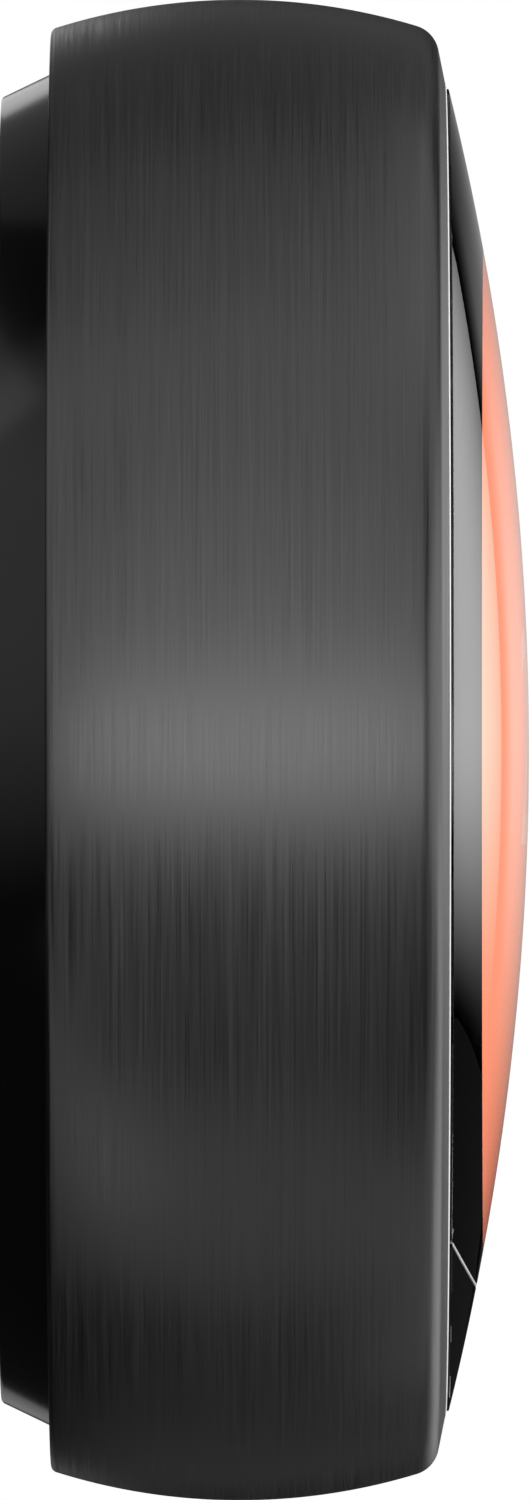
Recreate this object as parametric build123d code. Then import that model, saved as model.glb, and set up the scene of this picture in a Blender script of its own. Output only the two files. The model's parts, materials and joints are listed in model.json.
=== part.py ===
from build123d import *
import os
from math import cos, radians, sin, sqrt

# Round wall thermostat: a tray that is screwed to the wall, and a display unit that snaps onto it,
# with a front that clicks when pressed and a steel ring that turns.
#
# Everything is drawn in the panel's own coordinates, in millimetres: X to the right as seen from
# the room, Y up, and Z out from the wall. The last step stands the panel up, so that in the written
# files the wall is the plane y = 0, the front faces -Y and +Z is up.

# ---- Driving dimensions ----
OVERALL_DEPTH = 29.5            # wall to the middle of the domed lens
RING_RADIUS = 42.0              # the turning ring at its widest
RING_BACK = 2.77
RING_FRONT = 24.86
RING_WIDEST = 13.3              # height above the wall where the ring is widest
RING_BARREL = 34.2              # radius of the ring's barrel-shaped outside, in section
RING_BORE = 38.6
RING_OPENING = 37.15            # front opening, round the lens
LENS_RADIUS = 37.0
LENS_SPHERE = 154.6
SCREEN_RADIUS = 27.66
SKIRT_FOOT = 36.6               # the wall tray's visible skirt, at the wall
SKIRT_TOP = 37.9                # and where it passes into the ring
SKIRT_KNEE = 2.9                # height at which the flare ends
WINDOW_ARC = 111.0              # front-view radius of the joint between lens and sensor window
WINDOW_ARC_HEIGHT = 81.0        # its centre, above the middle of the face
PRESS_TRAVEL = 0.6
TAB_TRAVEL = 0.9
WALL_SCREW_SPREAD = 30.5        # wall screw holes, above and below the middle
WALL_SCREW_HOLE = 2.2

# ---- Stack: lower and upper height of each layer above the wall ----
TRAY_FLOOR = (0.4, 1.6)
BASE_BOARD = (2.6, 3.8)
TERMINALS = (3.8, 8.2)
FACE_PLATE = (8.3, 9.0)
HOUSING_FLOOR = (9.6, 11.0)
BATTERY = (11.05, 15.1)
MAIN_BOARD = (16.2, 17.2)
CHASSIS = (18.2, 19.6)
PRESS_CLEARANCE = 0.2           # left between the two halves when the front is pressed home
FRAME = (CHASSIS[1] + PRESS_TRAVEL + PRESS_CLEARANCE, 22.6)
FRAME_FLOOR_TOP = 21.4
GASKET = (22.6, 22.8)
MASK = (22.8, 22.98)
LENS_BACK = 23.0
LENS_POCKET_TOP = 25.0
BORDER_TOP = LENS_POCKET_TOP - 0.03
SCREEN_FRONT = LENS_POCKET_TOP - 0.04
SCREEN_BACK = 23.2

# ---- Sizes used all over ----
EDGE = 0.3                      # usual broken edge on mouldings
PILOT_CLEARANCE = 0.25          # screw holes are this much larger than the pilots
SCREW_HEAD = 1.7
PAST = 1.0                      # cutting shapes run this far past what they cut

# ---- Wall tray ----
TRAY_INSIDE = 36.35
TRAY_WALL_TOP = 9.0
CONTACT_RIM = 34.5              # only the rim outside this radius touches the wall
SCREW_BOSS = 4.5
SCREW_BOSS_TOP = 4.4
WIRE_OPENING = (20.0, 26.0)
WIRE_OPENING_CORNER = 5.0
CENTRE_RISE = 2.0               # the wiring area sits this far above the middle
TRAY_POST = 1.9
TRAY_POST_SHOULDER = 3.0
TRAY_POST_PLACES = [(x, y) for x in (-24.0, 24.0) for y in (-23.5, 23.5)]
SCREW_PILOT = 0.75
SCREW_SHANK = SCREW_PILOT - 0.02
BASE_BOARD_RADIUS = 34.6

# ---- Terminals ----
BLOCK_SIZE = (16.0, 30.0)
BLOCK_CORNER = 1.0
BLOCK_PLACE = 20.5              # centre of each block, left and right
TAB_PLACE = 24.2                # centre of each row of tabs, left and right
TAB_PITCH = 6.0
TABS_PER_SIDE = 5
WELL_SIZE = (6.4, 4.6)
WELL_BOTTOM = 4.6
WELL_CORNER = 0.4
TAB_FLANGE = (6.0, 4.2)
TAB_STEM = (4.8, 3.2)
TAB_FLANGE_HEIGHT = 0.9
TAB_BOTTOM = TERMINALS[1] - TAB_FLANGE_HEIGHT
TAB_TOP = FACE_PLATE[0] + TAB_TRAVEL + 0.2
WIRE_CHANNEL = (1.8, 6.4)       # width and upper height of each wire's channel
WIRE_MOUTH = (1.4, 1.6)         # outer radius and depth of each channel's cone-shaped mouth
STRIP_WIDTH = 1.4
STRIP_METAL = 0.25
STRIP_BED = WELL_BOTTOM + 0.02
LEAF_METAL = 0.16
TAB_PLACES = [
    (side * TAB_PLACE, CENTRE_RISE + TAB_PITCH * step)
    for side in (-1, 1)
    for step in range(TABS_PER_SIDE // 2, -TABS_PER_SIDE // 2, -1)
]

# ---- Socket between tray and display unit ----
CONNECTOR_HEIGHT = -20.5
SOCKET_SIZE = (25.0, 6.2)
SOCKET_SLOT = (22.6, 3.2)
SOCKET_TOP = 8.0
SOCKET_SLOT_BOTTOM = 4.8
CONTACT_WIDTH = 0.9
CONTACT_METAL = 0.2
CONTACT_COUNT = 10
CONTACT_PITCH = 2.0
PLUG_BLADE = (21.6, 2.0)
PLUG_TIP = 5.2

# ---- Bubble level ----
LEVEL_HEIGHT = 21.0
LEVEL_AXIS = 6.4
VIAL_RADIUS = 2.5
VIAL_LENGTH = 14.0
VIAL_BORE = 1.7
LIQUID_LENGTH = 11.6
BUBBLE_LENGTH = 4.4
BUBBLE_RADIUS = 1.1
VIAL_FOOT = 3.4

# ---- Display unit, back half ----
HOUSING_RADIUS = 37.6
HOUSING_WALL = 1.4
HOUSING_TOP = 19.6
TONGUE = (33.2, 34.6)           # catch tongues, inner and outer distance from the middle
TONGUE_WIDTH = 10.0
TONGUE_TIP = 4.6
LATCH_METAL = 0.2
HOUSING_EDGE = 0.8              # bevel round the housing's back
VENT_ANGLES = range(-111, -94, 4)
VENT = (6.0, 1.0)
VENT_SPAN = (12.0, 15.4)
HOUSING_POST = 2.2
HOUSING_POST_SHOULDER = 3.2
HOUSING_POST_PLACES = [(x, y) for x in (-23.8, 23.8) for y in (-23.8, 23.8)]
BATTERY_SIZE = (42.0, 27.0)
MAIN_BOARD_RADIUS = 35.8
SOUNDER_PLACE = (28.0, 0.0)
SOUNDER_RADIUS = 5.0
SOUNDER_BACK = 12.8
SOUND_HOLE = 0.5
SOUND_HOLE_PITCH = 2.0
CHARGE_HEIGHT = -29.5
CHARGE_OPENING = (8.4, 3.6)
CHARGE_SHELL = (7.8, 3.0)
CHARGE_MOUTH = (7.0, 2.2)
CHARGE_TONGUE = (5.2, 0.7)
AIR_SENSOR_PLACE = (-8.0, -33.2)
TURN_SENSOR_ANGLE = -25.0
TURN_SENSOR_SIZE = (4.4, 5.0)
TURN_SENSOR_BACK = 12.4
TURN_SENSOR_EYE = 14.3
BATTERY_PLUG_PLACE = (26.0, 9.75)
LEAD_RADIUS = 0.45
LEAD_PITCH = 1.5
LEAD_LOW = 13.0
LEAD_HIGH = 15.5
CAN_METAL = 0.2
CAN_TOP = CHASSIS[0] - 0.05
LOW_PLUG_RISE = 0.7
CHASSIS_SINK = 0.8              # the chassis screws' heads are sunk this deep
RIBBON_PLUG_HEIGHT = 26.0
SWITCH_SIZE = 7.0
SWITCH_TOP = 19.2
SWITCH_BORE = 1.3
SWITCH_FLOOR = MAIN_BOARD[1] + 0.25

# ---- Guides between the two halves ----
GUIDE_CIRCLE = 31.5
GUIDE_ANGLES = (60, 180, 300)
PIN_RADIUS = 1.6
PIN_RUNNING_GAP = 0.06
PIN_TIP = 17.4
PIN_HEAD = 22.2
BUSH_RADIUS = 2.7
CLIP_SPAN = (17.7, 18.1)
GUIDE_PLACES = [
    (GUIDE_CIRCLE * cos(radians(angle)), GUIDE_CIRCLE * sin(radians(angle)))
    for angle in GUIDE_ANGLES
]

# ---- Display unit, front half ----
FRAME_RADIUS = 37.6
GLIDE_RADIUS = 38.52            # runs inside the ring's bore
LENS_POCKET = 28.5
BACKLIGHT_RADIUS = 28.2
PANEL_RADIUS = 28.0
RIBBON_WIDTH = 14.0
RIBBON_THICKNESS = 0.15
RIBBON_DROP = 30.5              # height on the face where the ribbon goes through the frame
RIBBON_SLOT = (RIBBON_WIDTH + 1.2, 1.8)
SENSOR_HEIGHT = -32.0
SENSOR_BOARD = (21.05, 21.6)
SENSOR_BOARD_SIZE = (24.0, 4.4)
SENSOR_POCKET = (25.0, 5.0)
SHEET_RIBS = range(-18, 19, 3)
WINDOW_GAP = 0.12
LENS_EDGE = 0.1                 # bevel where lens and window meet

# ---- Turning ring ----
RING_EDGE = 1.75                # rounding between the ring's barrel and its front face
RING_BACK_EDGE = 0.4
RING_LIP_DROP = 0.2             # fall of the front face per unit of radius
RING_FLANGE = 22.75             # inner face of the ring's front flange
LINER = (9.8, 19.7)
LINER_RADIUS = 38.05
STRIP_SPAN = (11.0, 15.5)
STRIP_THICKNESS = 0.1
RETAINER = (19.75, 20.25)
RETAINER_BORE = 37.85
RETAINER_GAP_WIDTH = 4.0


# ---- Building blocks ----
def disc(radius, low, high, x=0.0, y=0.0):
    """Upright cylinder between two heights."""
    return Pos(x, y, low) * Cylinder(radius, high - low, align=(Align.CENTER, Align.CENTER, Align.MIN))


def tube(outer, inner, low, high, x=0.0, y=0.0):
    """Upright tube between two heights."""
    return disc(outer, low, high, x, y) - disc(inner, low, high, x, y)


def block(size, low, high, x=0.0, y=0.0, corner=0.0):
    """Upright block with rounded upright edges, between two heights."""
    width, height = size
    plan = RectangleRounded(width, height, corner) if corner else Rectangle(width, height)
    return Pos(x, y, low) * extrude(plan, high - low)


def turned(outline):
    """Solid turned about Z from a closed outline drawn as radius and height."""
    return revolve(Plane.XZ * make_face(outline), Axis.Z)


def strip(points, width, thickness, corner, plane, place):
    """Bent strip of even thickness: a filleted line on a plane, as wide as asked, at a place."""
    line = FilletPolyline(*points, radius=corner)
    return place * extrude(plane * trace(line, thickness), width / 2, both=True)


def group(pieces):
    """Several separate solids kept in one node."""
    return Compound([solid for piece in pieces for solid in piece.solids()])


def dome():
    """The front's spherical cap on its round rim, solid down to the lens's back."""
    sphere = Pos(0, 0, OVERALL_DEPTH - LENS_SPHERE) * Sphere(LENS_SPHERE)
    return disc(LENS_RADIUS, LENS_BACK, OVERALL_DEPTH + 1) & sphere


def above_window(gap):
    """Everything on the lens's side of the joint with the sensor window, set back by a gap."""
    return disc(WINDOW_ARC - gap, LENS_BACK - 1, OVERALL_DEPTH + 1, y=WINDOW_ARC_HEIGHT)


def window_field(radius, inset, low, high):
    """The crescent below the joint, out to a radius and set back from the joint by an inset."""
    arc = disc(WINDOW_ARC + inset, low, high, y=WINDOW_ARC_HEIGHT)
    return disc(radius, low, high) - arc


# ---- Wall tray ----
def wall_tray():
    """Moulded tray with a flaring skirt, screw bosses, posts and the opening for the house wires."""
    skirt = Polyline(
        (0, 0), (SKIRT_FOOT - EDGE, 0), (SKIRT_FOOT, EDGE), (SKIRT_TOP, SKIRT_KNEE),
        (SKIRT_TOP, TRAY_WALL_TOP), (TRAY_INSIDE, TRAY_WALL_TOP), (TRAY_INSIDE, TRAY_FLOOR[1]),
        (0, TRAY_FLOOR[1]), close=True)
    tray = turned(skirt) - disc(CONTACT_RIM, -PAST, TRAY_FLOOR[0])
    for x, y in TRAY_POST_PLACES:
        tray += disc(TRAY_POST_SHOULDER, TRAY_FLOOR[0], BASE_BOARD[0], x, y)
        tray += disc(TRAY_POST, TRAY_FLOOR[0], FACE_PLATE[0], x, y)
    for x, y in TRAY_POST_PLACES:
        tray -= disc(SCREW_PILOT, FACE_PLATE[0] - 4, FACE_PLATE[0], x, y)
    for y in (-WALL_SCREW_SPREAD, WALL_SCREW_SPREAD):
        tray += disc(SCREW_BOSS, 0, SCREW_BOSS_TOP, 0, y)
    for y in (-WALL_SCREW_SPREAD, WALL_SCREW_SPREAD):
        tray -= disc(WALL_SCREW_HOLE, -PAST, SCREW_BOSS_TOP + PAST, 0, y)
    low, high = -PAST, TRAY_FLOOR[1] + PAST
    return tray - block(WIRE_OPENING, low, high, y=CENTRE_RISE, corner=WIRE_OPENING_CORNER)


def base_board():
    """Round board round the wire opening, the wall screw bosses and the posts."""
    board = disc(BASE_BOARD_RADIUS, *BASE_BOARD)
    wire_width, wire_height = WIRE_OPENING
    board -= block((wire_width + 2, wire_height + 2), *BASE_BOARD, y=CENTRE_RISE, corner=WIRE_OPENING_CORNER)
    for y in (-WALL_SCREW_SPREAD, WALL_SCREW_SPREAD):
        board -= disc(SCREW_BOSS + 0.5, *BASE_BOARD, 0, y)
    for x, y in TRAY_POST_PLACES:
        board -= disc(TRAY_POST + 0.2, *BASE_BOARD, x, y)
    return board


def terminal_block(side):
    """One block with five wells for the release tabs, each with a channel for its wire."""
    body = block(BLOCK_SIZE, *TERMINALS, side * BLOCK_PLACE, CENTRE_RISE, corner=BLOCK_CORNER)
    channel_width, channel_top = WIRE_CHANNEL
    mouth_radius, mouth_depth = WIRE_MOUTH
    inner_face = BLOCK_PLACE - BLOCK_SIZE[0] / 2
    channel_length = TAB_PLACE - inner_face
    for x, y in TAB_PLACES:
        if x * side > 0:
            body -= block(WELL_SIZE, WELL_BOTTOM, TERMINALS[1] + PAST, x, y, corner=WELL_CORNER)
            middle = side * (inner_face + (channel_length - PAST) / 2)
            channel = (channel_length + PAST, channel_width)
            body -= block(channel, WELL_BOTTOM, channel_top, middle, y)
            mouth = Rot(0, side * 90, 0) * Cone(mouth_radius, channel_width / 2, mouth_depth)
            body -= Pos(side * (inner_face + mouth_depth / 2), y, (WELL_BOTTOM + channel_top) / 2) * mouth
    return body


def terminal_blocks():
    """Left and right terminal blocks."""
    return group(terminal_block(side) for side in (-1, 1))


def terminal_clips():
    """Ten brass contact strips, each lying in its channel with a turned-up end in the well."""
    strips = []
    low = STRIP_BED
    face = low + STRIP_METAL
    start, end = 14.2, 27.1
    end_rise = 0.8
    crest, crest_half, crest_rise = 19.6, 0.6, 0.25
    for x, y in TAB_PLACES:
        side = 1 if x > 0 else -1
        outline = Polyline(
            (start, low), (end, low), (end, low + end_rise), (end - STRIP_METAL, low + end_rise),
            (end - STRIP_METAL, face), (crest + crest_half, face), (crest, face + crest_rise),
            (crest - crest_half, face), (start, face), close=True)
        profile = extrude(Plane.XZ * make_face(outline), STRIP_WIDTH / 2, both=True)
        profile = profile if side > 0 else mirror(profile, Plane.YZ)
        strips.append(Pos(0, y, 0) * profile)
    return group(strips)


def tab_springs():
    """Ten steel leaves, each rising from its contact strip to the underside of its tab."""
    leaves = []
    low, high = WELL_BOTTOM + 0.4, TAB_BOTTOM - 0.12
    line = [(22.2, low), (23.4, low), (25.6, high), (26.6, high)]
    bend = 0.5
    for x, y in TAB_PLACES:
        side = 1 if x > 0 else -1
        leaf = strip(line, STRIP_WIDTH, LEAF_METAL, bend, Plane.XZ, Pos(0, 0, 0))
        leaf = leaf if side > 0 else mirror(leaf, Plane.YZ)
        leaves.append(Pos(0, y, 0) * leaf)
    return group(leaves)


def terminal_tab(x, y):
    """Release tab: a flange kept under the face plate and a stem that stands through it."""
    corner, stem_corner, stem_edge = 0.4, 0.6, 0.25
    thumb_radius, thumb_depth = 4.0, 0.4
    flange = block(TAB_FLANGE, TAB_BOTTOM, TERMINALS[1], x, y, corner=corner)
    stem = block(TAB_STEM, TERMINALS[1], TAB_TOP, x, y, corner=stem_corner)
    stem = chamfer(stem.faces().sort_by(Axis.Z)[-1].edges(), stem_edge)
    hollow = Rot(90, 0, 0) * Cylinder(thumb_radius, TAB_STEM[1] + PAST)
    thumb = Pos(x, y, TAB_TOP + thumb_radius - thumb_depth) * hollow
    return flange + stem - thumb


def face_plate():
    """Pressed steel plate over the terminals, with a window for everything that is reached."""
    plate = disc(TRAY_INSIDE - 0.25, *FACE_PLATE)
    wire_width, wire_height = WIRE_OPENING
    plate -= block((wire_width + 2, wire_height), *FACE_PLATE, y=CENTRE_RISE, corner=WIRE_OPENING_CORNER)
    plate -= block((VIAL_LENGTH + 1.4, 2 * VIAL_RADIUS + 0.8), *FACE_PLATE, y=LEVEL_HEIGHT, corner=1.5)
    plate -= block((SOCKET_SIZE[0] + 0.8, SOCKET_SIZE[1] + 0.6), *FACE_PLATE, y=CONNECTOR_HEIGHT, corner=1.0)
    for x, y in TAB_PLACES:
        plate -= block((TAB_STEM[0] + 0.6, TAB_STEM[1] + 0.6), *FACE_PLATE, x, y, corner=0.8)
    for y in (-WALL_SCREW_SPREAD, WALL_SCREW_SPREAD):
        plate -= disc(SCREW_BOSS + 0.5, *FACE_PLATE, 0, y)
    notch_depth = 6.0
    notch_start = TONGUE[0] - 0.9
    for side in (-1, 1):
        x = side * (notch_start + notch_depth / 2)
        plate -= block((notch_depth, TONGUE_WIDTH + 1.2), *FACE_PLATE, x)
    for x, y in TRAY_POST_PLACES:
        plate -= disc(SCREW_PILOT + PILOT_CLEARANCE, *FACE_PLATE, x, y)
    return plate


def screw(x, y, seat, head_height, length):
    """Pan-head screw with a cross recess; its head sits on a seat height."""
    rounding, recess_floor = 0.45 * head_height, 0.4 * head_height
    recess = (SCREW_HEAD * 1.1, SCREW_HEAD * 0.28)
    body = disc(SCREW_HEAD, seat, seat + head_height, x, y)
    body = fillet(body.edges().sort_by(Axis.Z)[-1], rounding)
    body += disc(SCREW_SHANK, seat - length, seat, x, y)
    for size in (recess, recess[::-1]):
        body -= block(size, seat + recess_floor, seat + head_height + PAST, x, y)
    return body


def plate_screws():
    """Four screws that clamp the face plate, and the board under it, to the tray's posts."""
    head_height, length = 0.5, 4.4
    return group(screw(x, y, FACE_PLATE[1], head_height, length) for x, y in TRAY_POST_PLACES)


def base_connector():
    """Socket on the tray's board that takes the display unit's plug."""
    socket = block(SOCKET_SIZE, BASE_BOARD[1], SOCKET_TOP, y=CONNECTOR_HEIGHT, corner=0.6)
    socket -= block(SOCKET_SLOT, SOCKET_SLOT_BOTTOM, SOCKET_TOP + PAST, y=CONNECTOR_HEIGHT)
    mouth = socket.faces().sort_by(Axis.Z)[-1].inner_wires()[0].edges()
    return chamfer(mouth, EDGE)


def contact_offsets():
    """Places of the contacts along the socket, evenly spread about its middle."""
    return [CONTACT_PITCH * (index - (CONTACT_COUNT - 1) / 2) for index in range(CONTACT_COUNT)]


def socket_contacts():
    """Ten contact strips on the socket's upper wall."""
    y = CONNECTOR_HEIGHT + (SOCKET_SLOT[1] - CONTACT_METAL) / 2
    size = (CONTACT_WIDTH, CONTACT_METAL)
    top = SOCKET_TOP - 0.5
    return group(block(size, SOCKET_SLOT_BOTTOM, top, x, y) for x in contact_offsets())


def lying_rod(radius, length):
    """Rod along X on the level's axis."""
    return Pos(0, LEVEL_HEIGHT, LEVEL_AXIS) * Rot(0, 90, 0) * Cylinder(radius, length)


def level_vial():
    """Clear vial with a foot that stands on the board."""
    foot = block((VIAL_LENGTH - 2, VIAL_FOOT), BASE_BOARD[1], LEVEL_AXIS, y=LEVEL_HEIGHT)
    body = lying_rod(VIAL_RADIUS, VIAL_LENGTH) + foot
    return body - lying_rod(VIAL_BORE, LIQUID_LENGTH + 0.1)


def level_liquid():
    """Liquid that fills the vial, with the hollow of its bubble at the top."""
    shape = scale(Sphere(1), (BUBBLE_LENGTH / 2, BUBBLE_RADIUS, BUBBLE_RADIUS))
    bubble = Pos(0, LEVEL_HEIGHT + VIAL_BORE, LEVEL_AXIS) * shape
    return lying_rod(VIAL_BORE - 0.03, LIQUID_LENGTH) - bubble


def latch_springs():
    """Two bent steel leaves on the board whose knees hold the display unit's tongues."""
    knee = TONGUE[0] - 0.25
    back = TONGUE[0] - 2.0
    line = [(back, BASE_BOARD[1]), (back, 6.0), (knee, 7.0), (back + 0.4, 8.0)]
    bend = 0.4
    leaf = strip(line, TONGUE_WIDTH - 2, LATCH_METAL, bend, Plane.XZ, Pos(0, 0, 0))
    return group([leaf, mirror(leaf, Plane.YZ)])


# ---- Display unit, back half ----
def tongue(side):
    """Catch tongue on the back of the housing, with a small nub for the latch spring."""
    inner, outer = TONGUE
    nub = [(inner, 6.3), (inner - 0.5, 5.9), (inner - 0.5, 5.5), (inner, TONGUE_TIP + 0.4)]
    line = Polyline(*nub, (inner + 0.4, TONGUE_TIP), (outer, TONGUE_TIP), (outer, HOUSING_FLOOR[1]),
                    (inner, HOUSING_FLOOR[1]), close=True)
    body = extrude(Plane.XZ * make_face(line), TONGUE_WIDTH / 2, both=True)
    return body if side > 0 else mirror(body, Plane.YZ)


def rear_housing():
    """Cup that holds the battery and main board, with vents, posts and two catch tongues."""
    inside = HOUSING_RADIUS - HOUSING_WALL
    low, floor_top = HOUSING_FLOOR
    outline = Polyline(
        (0, low), (HOUSING_RADIUS - HOUSING_EDGE, low), (HOUSING_RADIUS, low + HOUSING_EDGE),
        (HOUSING_RADIUS, HOUSING_TOP), (inside, HOUSING_TOP), (inside, floor_top), (0, floor_top), close=True)
    cup = turned(outline)
    for x, y in HOUSING_POST_PLACES:
        post = disc(HOUSING_POST_SHOULDER, low, MAIN_BOARD[0], x, y)
        post += disc(HOUSING_POST, low, CHASSIS[0], x, y)
        cup += post & disc(HOUSING_RADIUS - 0.5, low + 0.5, HOUSING_TOP)
    for x, y in HOUSING_POST_PLACES:
        cup -= disc(SCREW_PILOT, CHASSIS[0] - 5, CHASSIS[0], x, y)
    for side in (-1, 1):
        cup += tongue(side)
    cup -= block((PLUG_BLADE[0] + 1.8, PLUG_BLADE[1] + 1.6), low, floor_top, y=CONNECTOR_HEIGHT)
    cup -= block(CHARGE_OPENING, low, floor_top, y=CHARGE_HEIGHT, corner=0.8)
    for angle in VENT_ANGLES:
        cup -= Rot(0, 0, angle) * block(VENT, *VENT_SPAN, HOUSING_RADIUS)
    sensor_hole = (VENT[0], TURN_SENSOR_SIZE[1] + 0.4)
    sensor_hole = block(sensor_hole, TURN_SENSOR_BACK - EDGE, MAIN_BOARD[0], HOUSING_RADIUS)
    cup -= Rot(0, 0, TURN_SENSOR_ANGLE) * sensor_hole
    sound_x, sound_y = SOUNDER_PLACE
    for x_step in (-1, 0, 1):
        for y_step in (-1, 0, 1):
            x = sound_x + SOUND_HOLE_PITCH * x_step
            y = sound_y + SOUND_HOLE_PITCH * y_step
            cup -= disc(SOUND_HOLE, low, floor_top, x, y)
    return cup


def display_plug():
    """Plug between the main board and the tray's socket: a flanged body and a flat blade."""
    width, thickness = PLUG_BLADE
    body = block((width + 2.4, thickness + 2.6), HOUSING_FLOOR[1], MAIN_BOARD[0], y=CONNECTOR_HEIGHT)
    body += block((width + 1.4, thickness + 1.2), *HOUSING_FLOOR, y=CONNECTOR_HEIGHT)
    blade = block(PLUG_BLADE, PLUG_TIP, HOUSING_FLOOR[0], y=CONNECTOR_HEIGHT)
    return body + chamfer(blade.faces().sort_by(Axis.Z)[0].edges(), 0.4)


def battery():
    """Flat rechargeable cell with rounded edges."""
    low, high = BATTERY
    cell = block(BATTERY_SIZE, low, high, y=CENTRE_RISE, corner=2.5)
    return fillet(cell.faces().sort_by(Axis.Z)[-1].edges(), 0.8)


def battery_lead():
    """Two insulated leads from the cell's edge up to the connector on the board."""
    start = BATTERY_SIZE[0] / 2
    plug_x, plug_y = BATTERY_PLUG_PLACE
    leads = []
    reach, bend = 1.4, 0.7
    plug_back = plug_x - 2
    for y in (plug_y - LEAD_PITCH / 2, plug_y + LEAD_PITCH / 2):
        path = FilletPolyline(
            (start, y, LEAD_LOW), (start + reach, y, LEAD_LOW), (start + reach, y, LEAD_HIGH),
            (plug_back, y, LEAD_HIGH), radius=bend)
        leads.append(sweep(Plane(origin=path @ 0, z_dir=path % 0) * Circle(LEAD_RADIUS), path=path))
    return group(leads)


def main_board():
    """Round board with openings for the posts and the guide pins."""
    board = disc(MAIN_BOARD_RADIUS, *MAIN_BOARD)
    for x, y in HOUSING_POST_PLACES:
        board -= disc(HOUSING_POST + 0.2, *MAIN_BOARD, x, y)
    for x, y in GUIDE_PLACES:
        board -= disc(BUSH_RADIUS + 0.6, *MAIN_BOARD, x, y)
    return board


CHIPS = [                       # width, height, thickness and place of each chip on the main board
    (9.0, 9.0, 0.7, -15.0, 9.0), (5.0, 4.0, 0.7, -20.5, 4.5), (7.0, 7.0, 0.7, 16.0, -7.0),
    (8.0, 8.0, 0.9, -12.0, -14.0), (6.0, 6.0, 0.8, 12.0, 13.0), (3.2, 2.6, 0.8, 4.0, -12.0),
    (4.0, 3.0, 0.8, 22.0, 9.0), (2.0, 1.25, 0.6, 3.5, 9.0), (2.0, 1.25, 0.6, 3.5, 12.0),
    (2.0, 1.25, 0.6, -2.0, -18.0), (2.0, 1.25, 0.6, 2.0, -18.0), (3.0, 3.0, 0.7, -22.0, -8.0),
]
CANS = [(18.0, 15.0, -15.5, 8.5), (14.0, 12.0, 16.0, -7.0)]     # width, height and place


def board_chips():
    """Chips and other parts on the front of the main board."""
    top = MAIN_BOARD[1]
    return group(block((width, height), top, top + rise, x, y) for width, height, rise, x, y in CHIPS)


def shield_cans():
    """Two pressed cans, open towards the board, over the radio and the processor."""
    top = MAIN_BOARD[1]
    corner = 0.8
    cans = []
    for width, height, x, y in CANS:
        inside = (width - 2 * CAN_METAL, height - 2 * CAN_METAL)
        can = block((width, height), top, CAN_TOP, x, y, corner=corner)
        can -= block(inside, top, CAN_TOP - CAN_METAL, x, y, corner=corner - CAN_METAL)
        cans.append(can)
    return group(cans)


def board_connectors():
    """Header for the battery leads and low connector for the ribbon cable."""
    header = block((4.0, 5.0), 14.8, MAIN_BOARD[0], *BATTERY_PLUG_PLACE)
    low, high = MAIN_BOARD[1], MAIN_BOARD[1] + LOW_PLUG_RISE
    low_plug = block((RIBBON_WIDTH + 2, 3.0), low, high, y=RIBBON_PLUG_HEIGHT)
    return group([header, low_plug])


def sounder():
    """Round sounder under the board, facing the holes in the housing."""
    x, y = SOUNDER_PLACE
    port, port_top = 1.2, 14.0
    body = disc(SOUNDER_RADIUS, SOUNDER_BACK, MAIN_BOARD[0], x, y)
    return body - disc(port, SOUNDER_BACK, port_top, x, y)


def click_switch():
    """Switch in the middle of the board, bored for the press stem."""
    body = block((SWITCH_SIZE, SWITCH_SIZE), MAIN_BOARD[1], SWITCH_TOP, corner=0.8)
    return body - disc(SWITCH_BORE, SWITCH_FLOOR, SWITCH_TOP + PAST)


def switch_dome():
    """Snap dome in the switch: a thin bowl, crown towards the stem."""
    low = SWITCH_FLOOR + 0.02
    crown, shoulder, metal = 18.15, 0.7, 0.12
    outline = Polyline(
        (0, crown), (shoulder, crown - 0.15), (SWITCH_BORE - 0.05, low), (SWITCH_BORE - 0.2, low),
        (shoulder - 0.15, crown - 0.25), (0, crown - metal), close=True)
    return turned(outline)


def usb_socket():
    """Charging socket under the board, reached from behind when the unit is off the wall."""
    low = HOUSING_FLOOR[0] + 0.1
    mouth_end, root = 15.2, 15.4
    body = block(CHARGE_SHELL, low, MAIN_BOARD[0], y=CHARGE_HEIGHT, corner=0.6)
    body -= block(CHARGE_MOUTH, low, mouth_end, y=CHARGE_HEIGHT, corner=0.4)
    return body + block(CHARGE_TONGUE, low + 0.8, root, y=CHARGE_HEIGHT)


def air_sensor():
    """Small upright board with its sensor, behind the vents at the bottom."""
    x, y = AIR_SENSOR_PLACE
    width, thickness = 9.0, 0.8
    low = 11.4
    board = block((width, thickness), low, MAIN_BOARD[0], x, y)
    return board + block((2.4, thickness), 13.0, 15.4, x, y - thickness)


def turn_sensor():
    """Optical reader in the housing's wall that watches the strip inside the ring."""
    body = block(TURN_SENSOR_SIZE, TURN_SENSOR_BACK, MAIN_BOARD[0], HOUSING_RADIUS - 2.5)
    eye = Pos(HOUSING_RADIUS - 0.3, 0, TURN_SENSOR_EYE) * Rot(0, 90, 0) * Cylinder(0.9, 1.0)
    return Rot(0, 0, TURN_SENSOR_ANGLE) * (body - eye)


def chassis_plate():
    """Cast plate that closes the back half and carries the guide bushes."""
    plate = disc(HOUSING_RADIUS - HOUSING_WALL - 0.2, *CHASSIS)
    plate -= disc(5.6, *CHASSIS)
    for x, y in GUIDE_PLACES:
        plate -= disc(BUSH_RADIUS, *CHASSIS, x, y)
    for x, y in HOUSING_POST_PLACES:
        plate -= disc(SCREW_PILOT + PILOT_CLEARANCE, *CHASSIS, x, y)
        plate -= disc(SCREW_HEAD + EDGE, CHASSIS[1] - CHASSIS_SINK, CHASSIS[1], x, y)
    plate -= block((RIBBON_WIDTH + 1.6, 1.8), *CHASSIS, y=RIBBON_DROP)
    for x in (-18.0, 18.0):
        plate -= block((14.0, 16.0), CHASSIS[1] - 0.4, CHASSIS[1], x, 0, corner=2.0)
    return plate


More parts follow.
